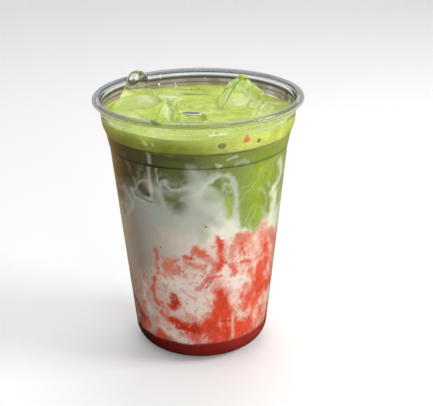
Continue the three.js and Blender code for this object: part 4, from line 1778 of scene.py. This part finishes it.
def join_parts(
    name: str, parts: list[tuple[np.ndarray, list]], finish: bpy.types.Material
) -> bpy.types.Object:
    """Makes one piece of several loose shapes.

    Args:
        name: The piece's name.
        parts: The points and faces of each shape.
        finish: The piece's material.

    Returns:
        The piece.
    """
    points, faces, start = [], [], 0
    for some, their in parts:
        faces += [tuple(i + start for i in face) for face in their]
        points.append(some)
        start += len(some)
    piece = make_piece(name, np.concatenate(points), faces, finish)
    close_up(piece)
    return piece


@dataclass
class Studio:
    """The camera, lamps, floor and sky, which aren't part of the drink."""

    eye: tuple[float, float, float] = (-0.00007, -0.50827, 0.2658)
    aim: tuple[float, float, float] = (0.00794, 0, 0.06959)
    lens: float = 94.53
    roll: float = -0.675

    def build(self) -> None:
        """Sets the studio up."""
        self.camera()
        self.floor()
        self.reflection_card()
        self.sky()
        self.lamp("key_softbox", (0.6, -0.12, 0.45), (0.3, 0.3), 2.6)
        self.lamp("top_softbox", (0.05, 0.3, 0.75), (0.4, 0.4), 1.6)
        self.lamp("front_fill", (0.3, -0.75, 0.35), (0.3, 0.3), 1.15)
        self.lamp("near_strip", (-0.116, -0.067, 0.043), (0.012, 0.03), 0.0024)
        self.lamp("far_strip", (-0.1035, -0.0869, 0.045), (0.006, 0.018), 0.0009)

    def camera(self) -> None:
        """The camera at the photograph's viewing angle."""
        data = bpy.data.cameras.new("camera")
        data.lens, data.sensor_width, data.clip_start = self.lens, 36, 0.01
        camera = bpy.data.objects.new("camera", data)
        camera.location = self.eye
        gaze = (Vector(self.aim) - Vector(self.eye)).to_track_quat("-Z", "Y")
        camera.rotation_mode = "QUATERNION"
        camera.rotation_quaternion = gaze @ Quaternion((0, 0, 1), math.radians(self.roll))
        bpy.context.scene.collection.objects.link(camera)
        bpy.context.scene.camera = camera

    def lamp(
        self, name: str, place: tuple[float, float, float], size: tuple[float, float], watts: float
    ) -> None:
        """Adds a soft rectangular lamp aimed at the drink.

        Args:
            name: The lamp's name.
            place: Where it stands.
            size: Its width and height.
            watts: Its power.
        """
        data = bpy.data.lights.new(name, "AREA")
        data.shape, data.size, data.size_y, data.energy = "RECTANGLE", *size, watts
        lamp = bpy.data.objects.new(name, data)
        lamp.location = place
        lamp.visible_camera = lamp.visible_transmission = False
        lamp.rotation_mode = "QUATERNION"
        lamp.rotation_quaternion = (Vector((0, 0, 0.07)) - Vector(place)).to_track_quat("-Z", "Y")
        bpy.context.scene.collection.objects.link(lamp)

    @staticmethod
    def floor() -> None:
        """A plain pale floor that sweeps up behind the drink."""
        sweep = np.linspace(0.2, 1.57, 8)
        depth = np.concatenate(
            [[-2500], np.linspace(-600, 900, 6), 900 + 500 * np.sin(sweep), [1400]]
        )
        height = np.concatenate([np.zeros(7), 500 - 500 * np.cos(sweep), [2200]])
        points = np.array([(x, y, z) for x in (-3000.0, 3000.0) for y, z in zip(depth, height)])
        count = len(depth)
        faces = [(i, i + count, i + count + 1, i + 1) for i in range(count - 1)]
        finish = bpy.data.materials.new("matt_white_paper")
        finish.use_nodes = True
        shader = finish.node_tree.nodes["Principled BSDF"]
        shader.inputs["Base Color"].default_value = rgba("f6f6f6")
        shader.inputs["Roughness"].default_value = 0.9
        shader.inputs["Specular IOR Level"].default_value = 0.0
        shader.inputs["Emission Color"].default_value = rgba("ffffff")
        shader.inputs["Emission Strength"].default_value = 0.1
        make_piece("floor", points, faces, finish)

    @staticmethod
    def reflection_card() -> None:
        """A dark table card that only the gloss of the cup and the ice sees."""
        depths, sides = (-700.0, -20.0, 110.0, 600.0), (-900.0, 900.0)
        points = np.array([(x, y, 0.4) for y in depths for x in sides])
        front, back = linear("3a2c22"), linear("a08862")
        tint = np.array([front, front, front, front, back, front, back, back])
        finish = bpy.data.materials.new("brown_card")
        finish.use_nodes = True
        shader = finish.node_tree.nodes["Principled BSDF"]
        shade = add_node(finish.node_tree, "ShaderNodeAttribute", attribute_name="tint")
        finish.node_tree.links.new(shade.outputs["Color"], shader.inputs["Base Color"])
        shader.inputs["Roughness"].default_value = 1.0
        card = make_piece(
            "reflection_card", points, [(0, 1, 3, 2), (2, 3, 5, 4), (4, 5, 7, 6)], finish,
            {"tint": tint}
        )
        card.visible_camera = card.visible_diffuse = False
        card.visible_shadow = card.visible_transmission = False

    @staticmethod
    def sky() -> None:
        """Plain soft light from all round, darker low down in front."""
        world = bpy.data.worlds.new("studio_sky")
        bpy.context.scene.world = world
        world.use_nodes = True
        tree = world.node_tree
        tree.nodes.clear()
        way = add_node(tree, "ShaderNodeTexCoord").outputs["Generated"]
        part = add_node(tree, "ShaderNodeSeparateXYZ", {0: way})
        light = add_node(
            tree, "ShaderNodeMapRange",
            {"Value": part.outputs["Z"], "From Min": -0.05, "From Max": 0.8, "To Min": 0.22,
             "To Max": 0.6},
        )
        glow = add_node(
            tree, "ShaderNodeBackground",
            {"Color": rgba("ffffff"), "Strength": light.outputs["Result"]},
        )
        add_node(tree, "ShaderNodeOutputWorld", {"Surface": glow.outputs["Background"]})


LAYERS: tuple[Layer, ...] = (
    # Cooked strawberry syrup: deep red, with faint darker clots a few millimetres across
    Layer("syrup_body", "strawberry_syrup", "syrup", inner_floor, syrup_top, 16,
          DrinkFinish("strawberry_syrup_cooked", 1.6, 0.08, 0.25, fleck="3c1014", fleck_mm=4.0,
                      fleck_share=0.25)),
    # Crushed strawberry in milk: pink to red in a fine mottle, with redder crumbs of fruit
    Layer("pulp_body", "strawberry_pulp", "strawberry", syrup_top, strawberry_top, 100,
          DrinkFinish("crushed_strawberry_in_milk", 0.9, 0.07, 0.35, fleck="c8503f", fleck_mm=2.6,
                      fleck_share=0.35), columns=640),
    # Whole milk: almost even, with a faint cloud
    Layer("milk_body", "milk", "milk", strawberry_top, milk_top, 64,
          DrinkFinish("whole_milk", 3.0, 0.025, 0.3)),
    # Matcha stirred in milk: a green with a slight grain. The powder is too fine to show, so the
    # grain is drawn at 1.4 mm
    Layer("matcha_body", "matcha", "matcha", milk_top, matcha_top, 56,
          DrinkFinish("matcha_stirred_in_milk", 1.4, 0.05, 0.3)),
    # Whisked matcha foam: moist and pitted. Most of its bubbles are too fine to show, so the pits
    # are drawn 0.9 mm apart
    FoamLayer("foam_body", "matcha_foam", "foam", matcha_top, foam_top, 14,
              DrinkFinish("matcha_foam_whisked", 1.1, 0.05, 0.28, 0.5, bubbles_mm=0.9,
                          bubbling=0.35),
              top_rings=110),
)


def main() -> None:
    """Builds the drink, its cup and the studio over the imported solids."""
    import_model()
    bpy.context.scene.view_settings.view_transform = "Standard"
    brew = Brew()
    for layer in LAYERS:
        settle(layer.build(brew), layer.slot, layer.node)
    IcePieces().build()
    Trimmings().build()
    settle(CupShell().build(ClearPlastic().make()), "clear_cup", "cup")
    Studio().build()


if __name__ == "__main__":
    logging.basicConfig(level=logging.INFO, format="%(message)s")
    main()
